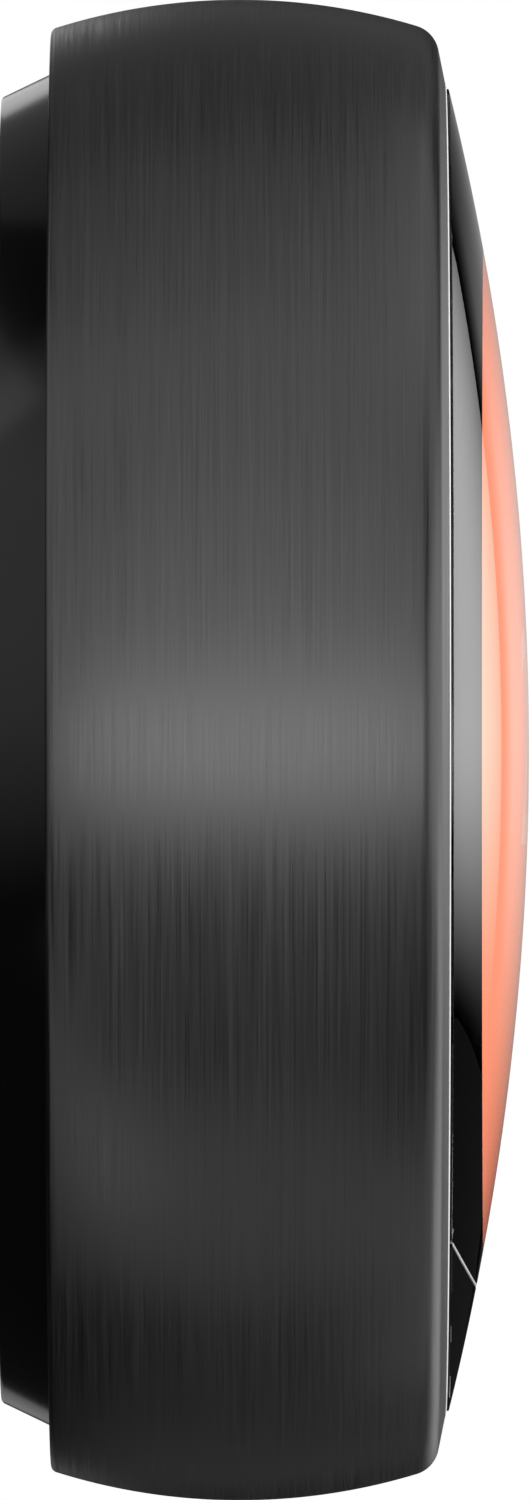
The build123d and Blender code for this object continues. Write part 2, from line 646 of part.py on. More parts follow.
def chassis_screws():
    """Four screws, sunk in the chassis plate, that hold it to the housing's posts."""
    seat = CHASSIS[1] - CHASSIS_SINK
    head_height, length = 0.6, 5.0
    return group(screw(x, y, seat, head_height, length) for x, y in HOUSING_POST_PLACES)


def guide_bushes():
    """Three bushes in which the front's guide pins slide."""
    return group(tube(BUSH_RADIUS, PIN_RADIUS + PIN_RUNNING_GAP, *CHASSIS, x, y) for x, y in GUIDE_PLACES)


def return_springs():
    """Three cone-shaped spring washers round the guide pins, between chassis and front frame."""
    low, high, thickness = CHASSIS[1] + 0.02, FRAME[0] - 0.02, 0.2
    inner, outer = 2.0, 3.6
    cone = Polyline(
        (inner, high), (outer, low + thickness), (outer, low), (outer - EDGE, low),
        (inner, high - thickness), close=True)
    return group(Pos(x, y, 0) * turned(cone) for x, y in GUIDE_PLACES)


# ---- Display unit, front half ----
def front_frame():
    """Round frame under the lens, with pockets for the screen and the sensors."""
    low, high = FRAME
    frame = disc(FRAME_RADIUS, low, high)
    frame -= disc(LENS_POCKET + 0.1, FRAME_FLOOR_TOP, high)
    slot_width, slot_height = RIBBON_SLOT
    frame -= block((slot_width, 3 * slot_height), FRAME_FLOOR_TOP, 22.0, y=RIBBON_DROP - slot_height)
    frame -= block(RIBBON_SLOT, low, high, y=RIBBON_DROP)
    frame -= block(SENSOR_POCKET, 21.0, high, y=SENSOR_HEIGHT)
    for x, y in GUIDE_PLACES:
        frame -= disc(PIN_RADIUS, low, PIN_HEAD, x, y)
    for x in (-15.0, 15.0):
        frame -= block((12.0, 22.0), FRAME_FLOOR_TOP - 0.4, FRAME_FLOOR_TOP, x, 0, corner=2.0)
    return frame


def glide_ring():
    """Slippery ring round the frame that the steel ring turns on."""
    edge = 0.12
    return chamfer(tube(GLIDE_RADIUS, FRAME_RADIUS + 0.05, *FRAME).edges(), edge)


def lens_mask():
    """Black stepped border behind the lens, open at the screen and at the sensor window."""
    low, high = MASK
    inner, outer = LENS_POCKET - 0.2, LENS_RADIUS - 0.1
    wall, lip = 0.15, 0.17
    outline = Polyline(
        (inner, low), (outer, low), (outer, high), (inner + wall, high), (inner + wall, BORDER_TOP),
        (SCREEN_RADIUS, BORDER_TOP), (SCREEN_RADIUS, BORDER_TOP - lip), (inner, BORDER_TOP - lip),
        close=True)
    field_radius, field_inset = 36.0, 0.4
    return turned(outline) - window_field(field_radius, field_inset, low, high)


def bevelled(piece):
    """A piece of the dome with a fine bevel all round its domed face."""
    return chamfer(piece.faces().sort_by(Axis.Z)[-1].edges(), LENS_EDGE)


def front_lens():
    """Clear domed lens with a pocket for the screen behind it."""
    solid = bevelled(dome() & above_window(WINDOW_GAP / 2))
    return solid - disc(LENS_POCKET, LENS_BACK - PAST, LENS_POCKET_TOP)


def sensor_window():
    """Dark piece that completes the dome at the bottom, over the sensors."""
    return bevelled(dome() - above_window(-WINDOW_GAP / 2))


def lens_gasket():
    """Adhesive ring between lens and frame, open over the sensors."""
    outer, inner = LENS_RADIUS - 0.3, 33.4
    field_radius, field_inset = 35.6, 0.4
    return tube(outer, inner, *GASKET) - window_field(field_radius, field_inset, *GASKET)


def display_panel():
    """Round screen panel whose lit face lies behind the lens."""
    step = 24.7
    window = SCREEN_RADIUS - 0.06
    outline = Polyline(
        (0, SCREEN_BACK), (PANEL_RADIUS, SCREEN_BACK), (PANEL_RADIUS, step), (window, step),
        (window, SCREEN_FRONT), (0, SCREEN_FRONT), close=True)
    return turned(outline)


def backlight():
    """Shallow can behind the screen panel that lights it."""
    low = 21.65
    return fillet(disc(BACKLIGHT_RADIUS, low, SCREEN_BACK).edges().sort_by(Axis.Z)[0], EDGE)


def display_flex():
    """Ribbon cable from behind the backlight, down through the frame, to the main board."""
    lie = FRAME_FLOOR_TOP + 0.1
    plug_top = MAIN_BOARD[1] + LOW_PLUG_RISE + RIBBON_THICKNESS / 2 + 0.01
    start, bend = 18.0, 0.4
    line = [(start, lie), (RIBBON_DROP, lie), (RIBBON_DROP, plug_top), (RIBBON_PLUG_HEIGHT, plug_top)]
    return strip(line, RIBBON_WIDTH, RIBBON_THICKNESS, bend, Plane.YZ, Pos(0, 0, 0))


def sensor_board():
    """Small board in the frame's lower pocket."""
    return block(SENSOR_BOARD_SIZE, *SENSOR_BOARD, y=SENSOR_HEIGHT, corner=0.5)


def sensor_chips():
    """Two motion sensors, a near sensor and a light sensor on the sensor board."""
    low = SENSOR_BOARD[1]
    motion, motion_top = (4.6, 3.4), 22.5
    small, small_top = (2.4, 2.0), 22.3
    pieces = [block(motion, low, motion_top, x, SENSOR_HEIGHT, corner=0.4) for x in (-8.0, 8.0)]
    pieces += [block(small, low, small_top, x, SENSOR_HEIGHT) for x in (-2.2, 2.2)]
    return group(pieces)


def fresnel_sheet():
    """Thin ribbed lens sheet between the sensors and their window."""
    low, high = MASK
    sheet_radius, inset = 35.6, 0.8
    rib, rib_depth = (0.3, 12.0), 0.06
    sheet = window_field(sheet_radius, inset, low + 0.02, high)
    for x in SHEET_RIBS:
        sheet -= block(rib, high - rib_depth, high + PAST, x, SENSOR_HEIGHT - PAST)
    return sheet


def guide_pins():
    """Three pins, pressed into the frame, that keep the front square as it is pressed."""
    pins = []
    tip_edge = 0.2
    for x, y in GUIDE_PLACES:
        pin = disc(PIN_RADIUS, PIN_TIP, PIN_HEAD, x, y)
        pins.append(chamfer(pin.edges().sort_by(Axis.Z)[0], tip_edge))
    return group(pins)


def pin_clips():
    """Three open clips on the pins that stop the front from lifting out."""
    clips = []
    low, high = CLIP_SPAN
    mouth = (3.4, 2.2)
    for x, y in GUIDE_PLACES:
        clip = tube(BUSH_RADIUS + 0.1, PIN_RADIUS, low, high, x, y)
        clips.append(clip - block(mouth, low - PAST, high + PAST, x + mouth[1], y))
    return group(clips)


def press_stem():
    """Stem under the frame that works the click switch."""
    pad_radius, pad_back, tip = 3.0, FRAME[0] - 0.4, 18.4
    return disc(pad_radius, pad_back, FRAME[0]) + disc(SWITCH_BORE - 0.1, tip, pad_back)


# ---- Turning ring ----
def barrel_radius(height):
    """Radius of the ring's barrel-shaped outside at a height above the wall."""
    rise = height - RING_WIDEST
    return RING_RADIUS - RING_BARREL + sqrt(RING_BARREL ** 2 - rise ** 2)


def outer_ring():
    """Steel ring: barrel outside, rounded front edge, shallow cone in to the lens, plain bore."""
    corner_height = RING_FRONT - RING_LIP_DROP * (barrel_radius(RING_FRONT) - RING_OPENING)
    back = (barrel_radius(RING_BACK), RING_BACK)
    widest = (RING_RADIUS, RING_WIDEST)
    corner = (barrel_radius(corner_height), corner_height)
    outside = ThreePointArc(back, widest, corner)
    rest = Polyline(
        corner, (RING_OPENING, RING_FRONT), (RING_OPENING, RING_FLANGE), (RING_BORE, RING_FLANGE),
        (RING_BORE, RING_BACK), back)
    face = make_face(outside + rest)
    points = face.vertices()
    face = fillet(points.sort_by_distance(Vertex(*corner, 0))[0], RING_EDGE)
    face = fillet(face.vertices().sort_by_distance(Vertex(*back, 0))[0], RING_BACK_EDGE)
    face = chamfer(face.vertices().sort_by_distance(Vertex(RING_BORE, RING_BACK, 0))[0], EDGE)
    lip_edge = 0.12
    face = fillet(face.vertices().sort_by_distance(Vertex(RING_OPENING, RING_FRONT, 0))[0], lip_edge)
    return revolve(Plane.XZ * face, Axis.Z)


def ring_liner():
    """Thin sleeve bonded inside the ring."""
    return tube(RING_BORE, LINER_RADIUS, *LINER)


def encoder_strip():
    """Band inside the liner with the marks that the turn sensor reads."""
    return tube(LINER_RADIUS, LINER_RADIUS - STRIP_THICKNESS, *STRIP_SPAN)


def ring_retainer():
    """Open spring ring that keeps the turning ring on the glide ring."""
    ring = tube(RING_BORE, RETAINER_BORE, *RETAINER)
    low, high = RETAINER[0] - PAST, RETAINER[1] + PAST
    gap = block((8.0, RETAINER_GAP_WIDTH), low, high, 0, RING_BORE)
    return ring - gap.rotate(Axis.Z, 90)


# ---- Writing the nodes ----
MAKERS = [
    wall_tray, base_board, terminal_blocks, terminal_clips, tab_springs, face_plate, plate_screws,
    base_connector, socket_contacts, level_vial, level_liquid, latch_springs,
    rear_housing, display_plug, battery, battery_lead, main_board, board_chips, shield_cans,
    board_connectors, sounder, click_switch, switch_dome, usb_socket, air_sensor, turn_sensor,
    chassis_plate, chassis_screws, guide_bushes, return_springs,
    front_frame, glide_ring, lens_mask, front_lens, sensor_window, lens_gasket, display_panel,
    backlight, display_flex, sensor_board, sensor_chips, fresnel_sheet, guide_pins, pin_clips,
    press_stem,
    outer_ring, ring_liner, encoder_strip, ring_retainer,
]

STAND_UP = Rot(90, 0, 0)

os.makedirs("parts", exist_ok=True)
for maker in MAKERS:
    export_step(STAND_UP * maker(), f"parts/{maker.__name__}.step")
for number, (tab_x, tab_y) in enumerate(TAB_PLACES, start=1):
    export_step(STAND_UP * terminal_tab(tab_x, tab_y), f"parts/terminal_tab_{number}.step")
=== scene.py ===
"""Looks of a round wall thermostat: a brushed steel ring round a lit, domed front, on a black tray.

Everything is in metres. The wall is the plane y = 0, the front faces -Y and +Z is up. A height above
the wall is called "out", so a point that stands out by w lies at y = -w.
"""

import json
import logging
import math
from dataclasses import dataclass, field
from enum import Enum
from typing import Any, Mapping, Sequence

import bpy
import numpy as np
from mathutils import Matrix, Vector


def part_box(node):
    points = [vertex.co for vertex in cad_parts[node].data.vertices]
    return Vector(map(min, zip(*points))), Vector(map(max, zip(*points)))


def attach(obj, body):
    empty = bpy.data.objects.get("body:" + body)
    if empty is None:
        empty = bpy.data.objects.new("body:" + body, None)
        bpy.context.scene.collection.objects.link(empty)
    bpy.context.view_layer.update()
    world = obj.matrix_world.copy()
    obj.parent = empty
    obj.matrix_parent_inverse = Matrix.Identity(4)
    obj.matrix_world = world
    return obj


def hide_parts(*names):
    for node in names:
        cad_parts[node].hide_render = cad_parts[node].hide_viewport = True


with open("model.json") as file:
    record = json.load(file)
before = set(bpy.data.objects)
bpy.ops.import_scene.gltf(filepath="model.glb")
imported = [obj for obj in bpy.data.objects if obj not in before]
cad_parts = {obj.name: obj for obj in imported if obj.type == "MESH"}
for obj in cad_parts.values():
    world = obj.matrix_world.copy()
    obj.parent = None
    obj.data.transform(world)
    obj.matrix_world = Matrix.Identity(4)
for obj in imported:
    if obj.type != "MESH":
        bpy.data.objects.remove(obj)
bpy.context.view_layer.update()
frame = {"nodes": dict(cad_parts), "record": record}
MM = 0.001
LOG = logging.getLogger("thermostat")

Colour = tuple[float, float, float]
BLACK: Colour = (0.0, 0.0, 0.0)
WHITE: Colour = (1.0, 1.0, 1.0)


# ---- Shader building -------------------------------------------------------------------------------


class Wire:
    """One output socket that plain operators work on; each operator adds one Math node."""

    def __init__(self, shader: "Shader", socket: bpy.types.NodeSocket) -> None:
        """Remembers the socket and the shader that it belongs to."""
        self.shader = shader
        self.socket = socket

    def maths(self, operation: str, left: Any, right: Any = 0.0, clamp: bool = False) -> "Wire":
        """One Math node.

        Args:
            operation: The node's operation, such as "ADD".
            left: First value, a wire or a number.
            right: Second value, a wire or a number.
            clamp: Whether the result is kept between 0 and 1.

        Returns:
            The node's result.
        """
        settings = {"operation": operation, "use_clamp": clamp}
        return self.shader.node("ShaderNodeMath", settings, {0: left, 1: right})

    def __add__(self, other: Any) -> "Wire":
        """Sum."""
        return self.maths("ADD", self, other)

    def __radd__(self, other: Any) -> "Wire":
        """Sum, from the right."""
        return self.maths("ADD", other, self)

    def __sub__(self, other: Any) -> "Wire":
        """Difference."""
        return self.maths("SUBTRACT", self, other)

    def __rsub__(self, other: Any) -> "Wire":
        """Difference, from the right."""
        return self.maths("SUBTRACT", other, self)

    def __mul__(self, other: Any) -> "Wire":
        """Product."""
        return self.maths("MULTIPLY", self, other)

    def __truediv__(self, other: Any) -> "Wire":
        """Quotient."""
        return self.maths("DIVIDE", self, other)

    def root(self) -> "Wire":
        """Square root."""
        return self.maths("SQRT", self)

    def size(self) -> "Wire":
        """Value without its sign."""
        return self.maths("ABSOLUTE", self)

    def part(self) -> "Wire":
        """What is left after the whole number is taken away."""
        return self.maths("FRACT", self)

    def above(self, level: Any) -> "Wire":
        """1 where the value is greater than a level, and 0 elsewhere."""
        return self.maths("GREATER_THAN", self, level)

    def below(self, level: Any) -> "Wire":
        """1 where the value is less than a level, and 0 elsewhere."""
        return self.maths("LESS_THAN", self, level)

    def clipped(self) -> "Wire":
        """Value kept between 0 and 1."""
        return self.maths("ADD", self, 0.0, clamp=True)

    def ramped(self, low: float, high: float) -> "Wire":
        """Value that rises smoothly from 0 at low to 1 at high."""
        settings = {"interpolation_type": "SMOOTHSTEP", "clamp": True}
        sockets = {"Value": self, "From Min": low, "From Max": high}
        return self.shader.node("ShaderNodeMapRange", settings, sockets)


class Shader:
    """The node tree of one material."""

    def __init__(self, name: str) -> None:
        """Makes an empty material with that name."""
        self.material = bpy.data.materials.new(name)
        self.material.use_nodes = True
        self.tree = self.material.node_tree
        self.tree.nodes.clear()

    def node(self, kind: str, settings: Mapping[str, Any], sockets: Mapping[Any, Any], out: Any = 0) -> Wire:
        """Adds one node of any type.

        Args:
            kind: The node's type name.
            settings: Its properties, set first; "stops" holds a ramp's (place, colour) pairs.
            sockets: Values or wires for its inputs, by name or number.
            out: Name or number of the output that is wanted.

        Returns:
            That output.
        """
        made = self.tree.nodes.new(kind)
        for name, value in settings.items():
            if name == "stops":
                ramp = made.color_ramp
                while len(ramp.elements) < len(value):
                    ramp.elements.new(1.0)
                for element, (place, colour) in zip(ramp.elements, value):
                    element.position = place
                    element.color = (*colour, 1.0)
            else:
                setattr(made, name, value)
        for name, value in sockets.items():
            if isinstance(value, Wire):
                self.tree.links.new(value.socket, made.inputs[name])
            elif isinstance(value, tuple) and len(value) == 3 and made.inputs[name].type == "RGBA":
                made.inputs[name].default_value = (*value, 1.0)
            else:
                made.inputs[name].default_value = value
        return Wire(self, made.outputs[out])

    def place(self) -> Wire:
        """Object coordinates, which are the model's own metres because each piece sits at the origin."""
        return self.node("ShaderNodeTexCoord", {}, {}, "Object")

    def split(self, vector: Wire) -> tuple[Wire, Wire, Wire]:
        """The three parts of a vector."""
        first = self.node("ShaderNodeSeparateXYZ", {}, {0: vector})
        outputs = first.socket.node.outputs
        return first, Wire(self, outputs[1]), Wire(self, outputs[2])

    def joined(self, x: Any, y: Any, z: Any) -> Wire:
        """A vector from three values."""
        return self.node("ShaderNodeCombineXYZ", {}, {0: x, 1: y, 2: z})

    def stretched(self, vector: Wire, scale: tuple[float, float, float]) -> Wire:
        """A vector with each part multiplied."""
        return self.node("ShaderNodeVectorMath", {"operation": "MULTIPLY"}, {0: vector, 1: scale})

    def noise(self, vector: Wire, scale: float, detail: float = 2.0, rough: float = 0.5) -> Wire:
        """Noise between 0 and 1 at so many features per unit."""
        sockets = {"Vector": vector, "Scale": scale, "Detail": detail, "Roughness": rough}
        return self.node("ShaderNodeTexNoise", {}, sockets)

    def cells(self, vector: Wire, scale: float, out: str = "Distance") -> Wire:
        """Cell pattern at so many cells per unit."""
        return self.node("ShaderNodeTexVoronoi", {}, {"Vector": vector, "Scale": scale}, out)

    def blend(self, share: Any, first: Any, second: Any) -> Wire:
        """Colour that goes from the first to the second as share goes from 0 to 1."""
        made = self.tree.nodes.new("ShaderNodeMix")
        made.data_type = "RGBA"
        for index, value in ((0, share), (6, first), (7, second)):
            if isinstance(value, Wire):
                self.tree.links.new(value.socket, made.inputs[index])
            else:
                made.inputs[index].default_value = (*value, 1.0) if isinstance(value, tuple) else value
        return Wire(self, made.outputs[2])

    def relief(self, height: Any, strength: float, depth: float) -> Wire:
        """Bumped normal from a height of 0 to 1, times a depth in metres."""
        return self.node("ShaderNodeBump", {}, {"Height": height, "Strength": strength, "Distance": depth})

    def coat(self, sockets: Mapping[Any, Any]) -> Wire:
        """The surface shader, with what differs from its defaults."""
        return self.node("ShaderNodeBsdfPrincipled", {}, sockets)

    def done(self, surface: Wire) -> bpy.types.Material:
        """Joins the surface to the output and returns the material."""
        made = self.tree.nodes.new("ShaderNodeOutputMaterial")
        self.tree.links.new(surface.socket, made.inputs["Surface"])
        return self.material


# ---- Finishes --------------------------------------------------------------------------------------


def scaled(colour: Colour, share: float, added: float = 0.0) -> Colour:
    """Colour with each part multiplied and raised, and kept at 1 or less."""
    return tuple(min(1.0, part * share + added) for part in colour)


class Finish:
    """A finish that makes its material once and then hands the same one out."""

    made: dict[str, bpy.types.Material] = {}
    name: str

    def material(self) -> bpy.types.Material:
        """The material, made on first use."""
        if self.name not in Finish.made:
            Finish.made[self.name] = self.build(Shader(self.name))
        return Finish.made[self.name]

    def build(self, shader: Shader) -> bpy.types.Material:
        """Builds the material; each finish has its own."""
        raise NotImplementedError


@dataclass(frozen=True)
class TurnedSteel(Finish):
    """Dark plated steel, brushed while it turned, so its fine lines run round the ring.

    The pattern is noise at (distance along the section, cosine and sine of the angle round the ring),
    drawn out along the circumference.
    """

    name: str
    tint: Colour
    roughness: float
    line_width: float = 0.055 * MM
    line_turn: float = 6.0
    fine_share: float = 0.6
    long_stretch: tuple[float, float, float] = (0.35, 0.3, 0.3)
    contrast: float = 0.5
    gloss_swing: float = 0.6
    cloud_scale: float = 40.0
    cloud_gloss: float = 0.05
    relief_share: float = 0.35
    line_depth: float = 0.004 * MM

    def build(self, shader: Shader) -> bpy.types.Material:
        """Lines change the tint, the gloss and the relief."""
        x, y, z = shader.split(shader.place())
        radius = (x * x + z * z).root()
        along = (0.0 - y - radius) / self.line_width
        across = shader.joined(along, x / radius * self.line_turn, z / radius * self.line_turn)
        line = shader.noise(across, 1.0, 3.0, 0.6)
        long_line = shader.noise(shader.stretched(across, self.long_stretch), 1.0, 2.0)
        cloud = shader.noise(shader.place(), self.cloud_scale, 2.0)
        streak = line * self.fine_share + long_line * (1 - self.fine_share) - 0.5
        dark = scaled(self.tint, 1 - self.contrast)
        light = scaled(self.tint, 1 + self.contrast)
        colour = shader.blend((streak + 0.5).clipped(), dark, light)
        gloss = (self.roughness + streak * self.gloss_swing + (cloud - 0.5) * self.cloud_gloss).clipped()
        normal = shader.relief(line, self.relief_share, self.line_depth)
        return shader.done(shader.coat({
            "Base Color": colour, "Metallic": 1.0, "Roughness": gloss, "Normal": normal}))


class Texture(Enum):
    """How a mould leaves the surface of a plastic part."""

    POLISHED = "polished"
    SATIN = "satin"
    SPARK = "spark"


@dataclass(frozen=True)
class Moulded(Finish):
    """Moulded plastic with the grain of its mould."""

    name: str
    colour: Colour
    texture: Texture
    roughness: float
    shine: float = 0.5
    cloud_scale: float = 90.0
    cloud_share: float = 0.7
    pit_share: float = 0.4
    pit_size: float = 0.7
    lighter: float = 1.18
    darker: float = 0.86
    relief_share: float = 0.6

    def build(self, shader: Shader) -> bpy.types.Material:
        """Fine grain in the relief and the gloss, and faint clouds in the colour."""
        where = shader.place()
        cloud = shader.noise(where, self.cloud_scale, 3.0)
        depth, grain_scale, gloss_swing = {
            Texture.POLISHED: (0.0001 * MM, 260.0, 0.04),
            Texture.SATIN: (0.004 * MM, 5200.0, 0.08),
            Texture.SPARK: (0.02 * MM, 3600.0, 0.12),
        }[self.texture]
        grain = shader.noise(where, grain_scale, 3.0, 0.6)
        if self.texture is Texture.SPARK:
            pits = shader.cells(where, grain_scale * self.pit_size)
            grain = grain * (1 - self.pit_share) + pits * self.pit_share
        lighter = scaled(self.colour, self.lighter, 0.001)
        darker = scaled(self.colour, self.darker)
        tone = cloud * self.cloud_share + grain * (1 - self.cloud_share)
        return shader.done(shader.coat({
            "Base Color": shader.blend(tone, darker, lighter),
            "Roughness": (self.roughness + (cloud - 0.5) * gloss_swing).clipped(),
            "Specular IOR Level": self.shine,
            "Normal": shader.relief(grain, self.relief_share, depth)}))


class Grain(Enum):
    """How a metal part was worked."""

    ROLLED = "rolled"
    TURNED = "turned"
    PLATED = "plated"
    CAST = "cast"


@dataclass(frozen=True)
class WorkedMetal(Finish):
    """Bare or plated metal with the marks of how it was worked."""

    name: str
    colour: Colour
    grain: Grain
    roughness: float
    handled_scale: float = 140.0
    mark_share: float = 0.55
    darker: float = 0.78
    lighter: float = 1.12
    relief_share: float = 0.5

    def build(self, shader: Shader) -> bpy.types.Material:
        """Marks in the relief and the gloss, and a faint change of tone."""
        where = shader.place()
        stretch, depth, swing = {
            Grain.ROLLED: ((60.0, 2600.0, 2600.0), 0.003 * MM, 0.18),
            Grain.TURNED: ((900.0, 5200.0, 900.0), 0.003 * MM, 0.12),
            Grain.PLATED: ((700.0, 700.0, 700.0), 0.001 * MM, 0.08),
            Grain.CAST: ((3400.0, 3400.0, 3400.0), 0.03 * MM, 0.10),
        }[self.grain]
        marks = shader.noise(shader.stretched(where, stretch), 1.0, 3.0, 0.55)
        handled = shader.noise(where, self.handled_scale, 3.0)
        tone = marks * self.mark_share + handled * (1 - self.mark_share)
        darker = scaled(self.colour, self.darker)
        lighter = scaled(self.colour, self.lighter)
        return shader.done(shader.coat({
            "Base Color": shader.blend(tone, darker, lighter),
            "Metallic": 1.0,
            "Roughness": (self.roughness + (tone - 0.5) * swing).clipped(),
            "Normal": shader.relief(marks, self.relief_share, depth)}))


@dataclass(frozen=True)
class ClearPiece(Finish):
    """Clear polished glass or plastic."""

    name: str
    tint: Colour
    index: float
    roughness: float = 0.0
    ripple_scale: float = 60.0
    ripple_depth: float = 0.0002 * MM
    shade: float = 0.985

    def build(self, shader: Shader) -> bpy.types.Material:
        """Clear body whose polish carries the faintest ripple."""
        ripple = shader.noise(shader.place(), self.ripple_scale, 1.0)
        return shader.done(shader.coat({
            "Base Color": shader.blend(ripple, scaled(self.tint, self.shade), self.tint),
            "Roughness": self.roughness,
            "IOR": self.index,
            "Transmission Weight": 1.0,
            "Normal": shader.relief(ripple, 0.1, self.ripple_depth)}))


@dataclass(frozen=True)
class LitScreen(Finish):
    """Lit screen: even colour with a slightly dimmer rim and the fine grid of its dots."""

    name: str
    middle: Colour
    rim: Colour
    strength: float
    radius: float
    dot_pitch: float = 0.12 * MM
    dot_edge: float = 0.44
    dot_dimming: float = 0.1
    face: Colour = (0.01, 0.01, 0.01)
    face_roughness: float = 0.4

    def build(self, shader: Shader) -> bpy.types.Material:
        """Colour goes from the middle to the rim with the square of the radius; the dots are a grid."""
        x, _, z = shader.split(shader.place())
        reach = (x * x + z * z).root() / self.radius
        glow = shader.blend((reach * reach).clipped(), self.middle, self.rim)
        column = ((x / self.dot_pitch).part() - 0.5).size().above(self.dot_edge)
        row = ((z / self.dot_pitch).part() - 0.5).size().above(self.dot_edge)
        share = 1.0 - (column + row).clipped() * self.dot_dimming
        dimmed = shader.node("ShaderNodeVectorMath", {"operation": "SCALE"}, {0: glow, "Scale": share})
        return shader.done(shader.coat({
            "Base Color": self.face,
            "Roughness": self.face_roughness,
            "Emission Color": dimmed,
            "Emission Strength": self.strength}))


@dataclass(frozen=True)
class LitMark(Finish):
    """Lit mark on the screen, a little lighter than the colour round it."""

    name: str
    colour: Colour
    strength: float
    grain_scale: float = 2600.0
    duller: float = 0.94
    face: Colour = (0.01, 0.01, 0.01)
    face_roughness: float = 0.4

    def build(self, shader: Shader) -> bpy.types.Material:
        """Even glow with a faint grain."""
        fine = shader.noise(shader.place(), self.grain_scale, 1.0)
        return shader.done(shader.coat({
            "Base Color": self.face,
            "Roughness": self.face_roughness,
            "Emission Color": shader.blend(fine, scaled(self.colour, self.duller), self.colour),
            "Emission Strength": self.strength}))


@dataclass(frozen=True)
class Board(Finish):
    """Circuit board: solder mask over copper tracks, with tinned holes."""

    name: str
    mask: Colour
    track_scale: float = 260.0
    hole_scale: float = 420.0
    tracks_per_cell: float = 3.2
    solder: Colour = (0.72, 0.70, 0.66)
    gloss: float = 0.26
    copper_depth: float = 0.03 * MM

    def build(self, shader: Shader) -> bpy.types.Material:
        """Tracks follow the edges of square cells; holes are the middles of small round ones."""
        x, _, z = shader.split(shader.place())
        flat = shader.joined(x, z, 0.0)
        square = {"distance": "CHEBYCHEV", "feature": "F1"}
        cell = shader.node("ShaderNodeTexVoronoi", square, {"Vector": flat, "Scale": self.track_scale})
        step = (cell * self.tracks_per_cell).part()
        track = step.ramped(0.42, 0.5) * (1.0 - step.ramped(0.72, 0.8))
        pour = shader.noise(flat, 70.0, 1.0).ramped(0.5, 0.53)
        hole = shader.cells(flat, self.hole_scale).below(0.14) * shader.noise(flat, 120.0, 1.0).above(0.52)
        copper = (track * (1.0 - pour) + pour).clipped()
        covered = shader.blend(copper, self.mask, scaled(self.mask, 1.7, 0.012))
        return shader.done(shader.coat({
            "Base Color": shader.blend(hole, covered, self.solder),
            "Metallic": hole * 0.9,
            "Roughness": (self.gloss + shader.noise(flat, 900.0, 2.0) * 0.12 + hole * 0.1).clipped(),
            "Normal": shader.relief(copper - hole, 0.5, self.copper_depth)}))


@dataclass(frozen=True)
class Bars(Finish):
    """Film round the ring's inside, printed with fine bars that the turn sensor counts."""

    name: str
    light: Colour
    dark: Colour
    bars: int

    def build(self, shader: Shader) -> bpy.types.Material:
        """Bars follow the angle round the ring."""
        x, _, z = shader.split(shader.place())
        angle = shader.node("ShaderNodeMath", {"operation": "ARCTAN2"}, {0: z, 1: x})
        bar = (angle * (self.bars / math.tau)).part().above(0.5)
        wear = shader.noise(shader.place(), 500.0, 3.0)
        return shader.done(shader.coat({
            "Base Color": shader.blend(bar, self.light, self.dark),
            "Roughness": 0.32 + wear * 0.14,
            "Normal": shader.relief(bar, 0.3, 0.005 * MM)}))


@dataclass(frozen=True)
class Ribs(Finish):
    """Milky sheet with moulded rings or a film with straight conductors."""

    name: str
    colour: Colour
    rib_colour: Colour
    pitch: float
    round_middle: tuple[float, float] | None = None

    def build(self, shader: Shader) -> bpy.types.Material:
        """Ribs follow the distance from a middle, or the X coordinate where there is none."""
        x, _, z = shader.split(shader.place())
        reach = x
        if self.round_middle is not None:
            off_x = x - self.round_middle[0]
            off_z = z - self.round_middle[1]
            reach = (off_x * off_x + off_z * off_z).root()
        rib = ((reach / self.pitch).part() - 0.5).size() * 2.0
        fine = shader.noise(shader.place(), 1500.0, 2.0)
        return shader.done(shader.coat({
            "Base Color": shader.blend(rib.ramped(0.35, 0.65), self.colour, self.rib_colour),
            "Roughness": 0.3 + fine * 0.15,
            "Normal": shader.relief(rib, 0.5, 0.02 * MM)}))


@dataclass(frozen=True)
class SoftSkin(Finish):
    """Foam or rubber: a dull skin with fine open cells."""

    name: str
    colour: Colour
    cell_scale: float
    roughness: float

    def build(self, shader: Shader) -> bpy.types.Material:
        """Cells in the relief and the tone."""
        where = shader.place()
        pores = shader.cells(where, self.cell_scale)
        soft = shader.noise(where, 300.0, 3.0)
        tone = pores * 0.6 + soft * 0.4
        return shader.done(shader.coat({
            "Base Color": shader.blend(tone, self.colour, scaled(self.colour, 1.5, 0.004)),
            "Roughness": (self.roughness + (soft - 0.5) * 0.1).clipped(),
            "Normal": shader.relief(pores, 0.5, 0.05 * MM)}))


@dataclass(frozen=True)
class CellWrap(Finish):
    """Shrunk foil round the battery, with a faint lengthwise seam and small wrinkles."""

    name: str
    colour: Colour
    band: Colour
    band_place: float
    band_width: float

    def build(self, shader: Shader) -> bpy.types.Material:
        """Wrinkles are drawn-out noise; the band is a plain tape across the cell."""
        x, _, _ = shader.split(shader.place())
        wrinkle = shader.noise(shader.stretched(shader.place(), (120.0, 300.0, 900.0)), 1.0, 3.0)
        band = (x - self.band_place).size().below(self.band_width / 2)
        return shader.done(shader.coat({
            "Base Color": shader.blend(band, self.colour, self.band),
            "Metallic": 0.75 - band * 0.75,
            "Roughness": 0.34 + wrinkle * 0.14,
            "Normal": shader.relief(wrinkle, 0.4, 0.06 * MM)}))


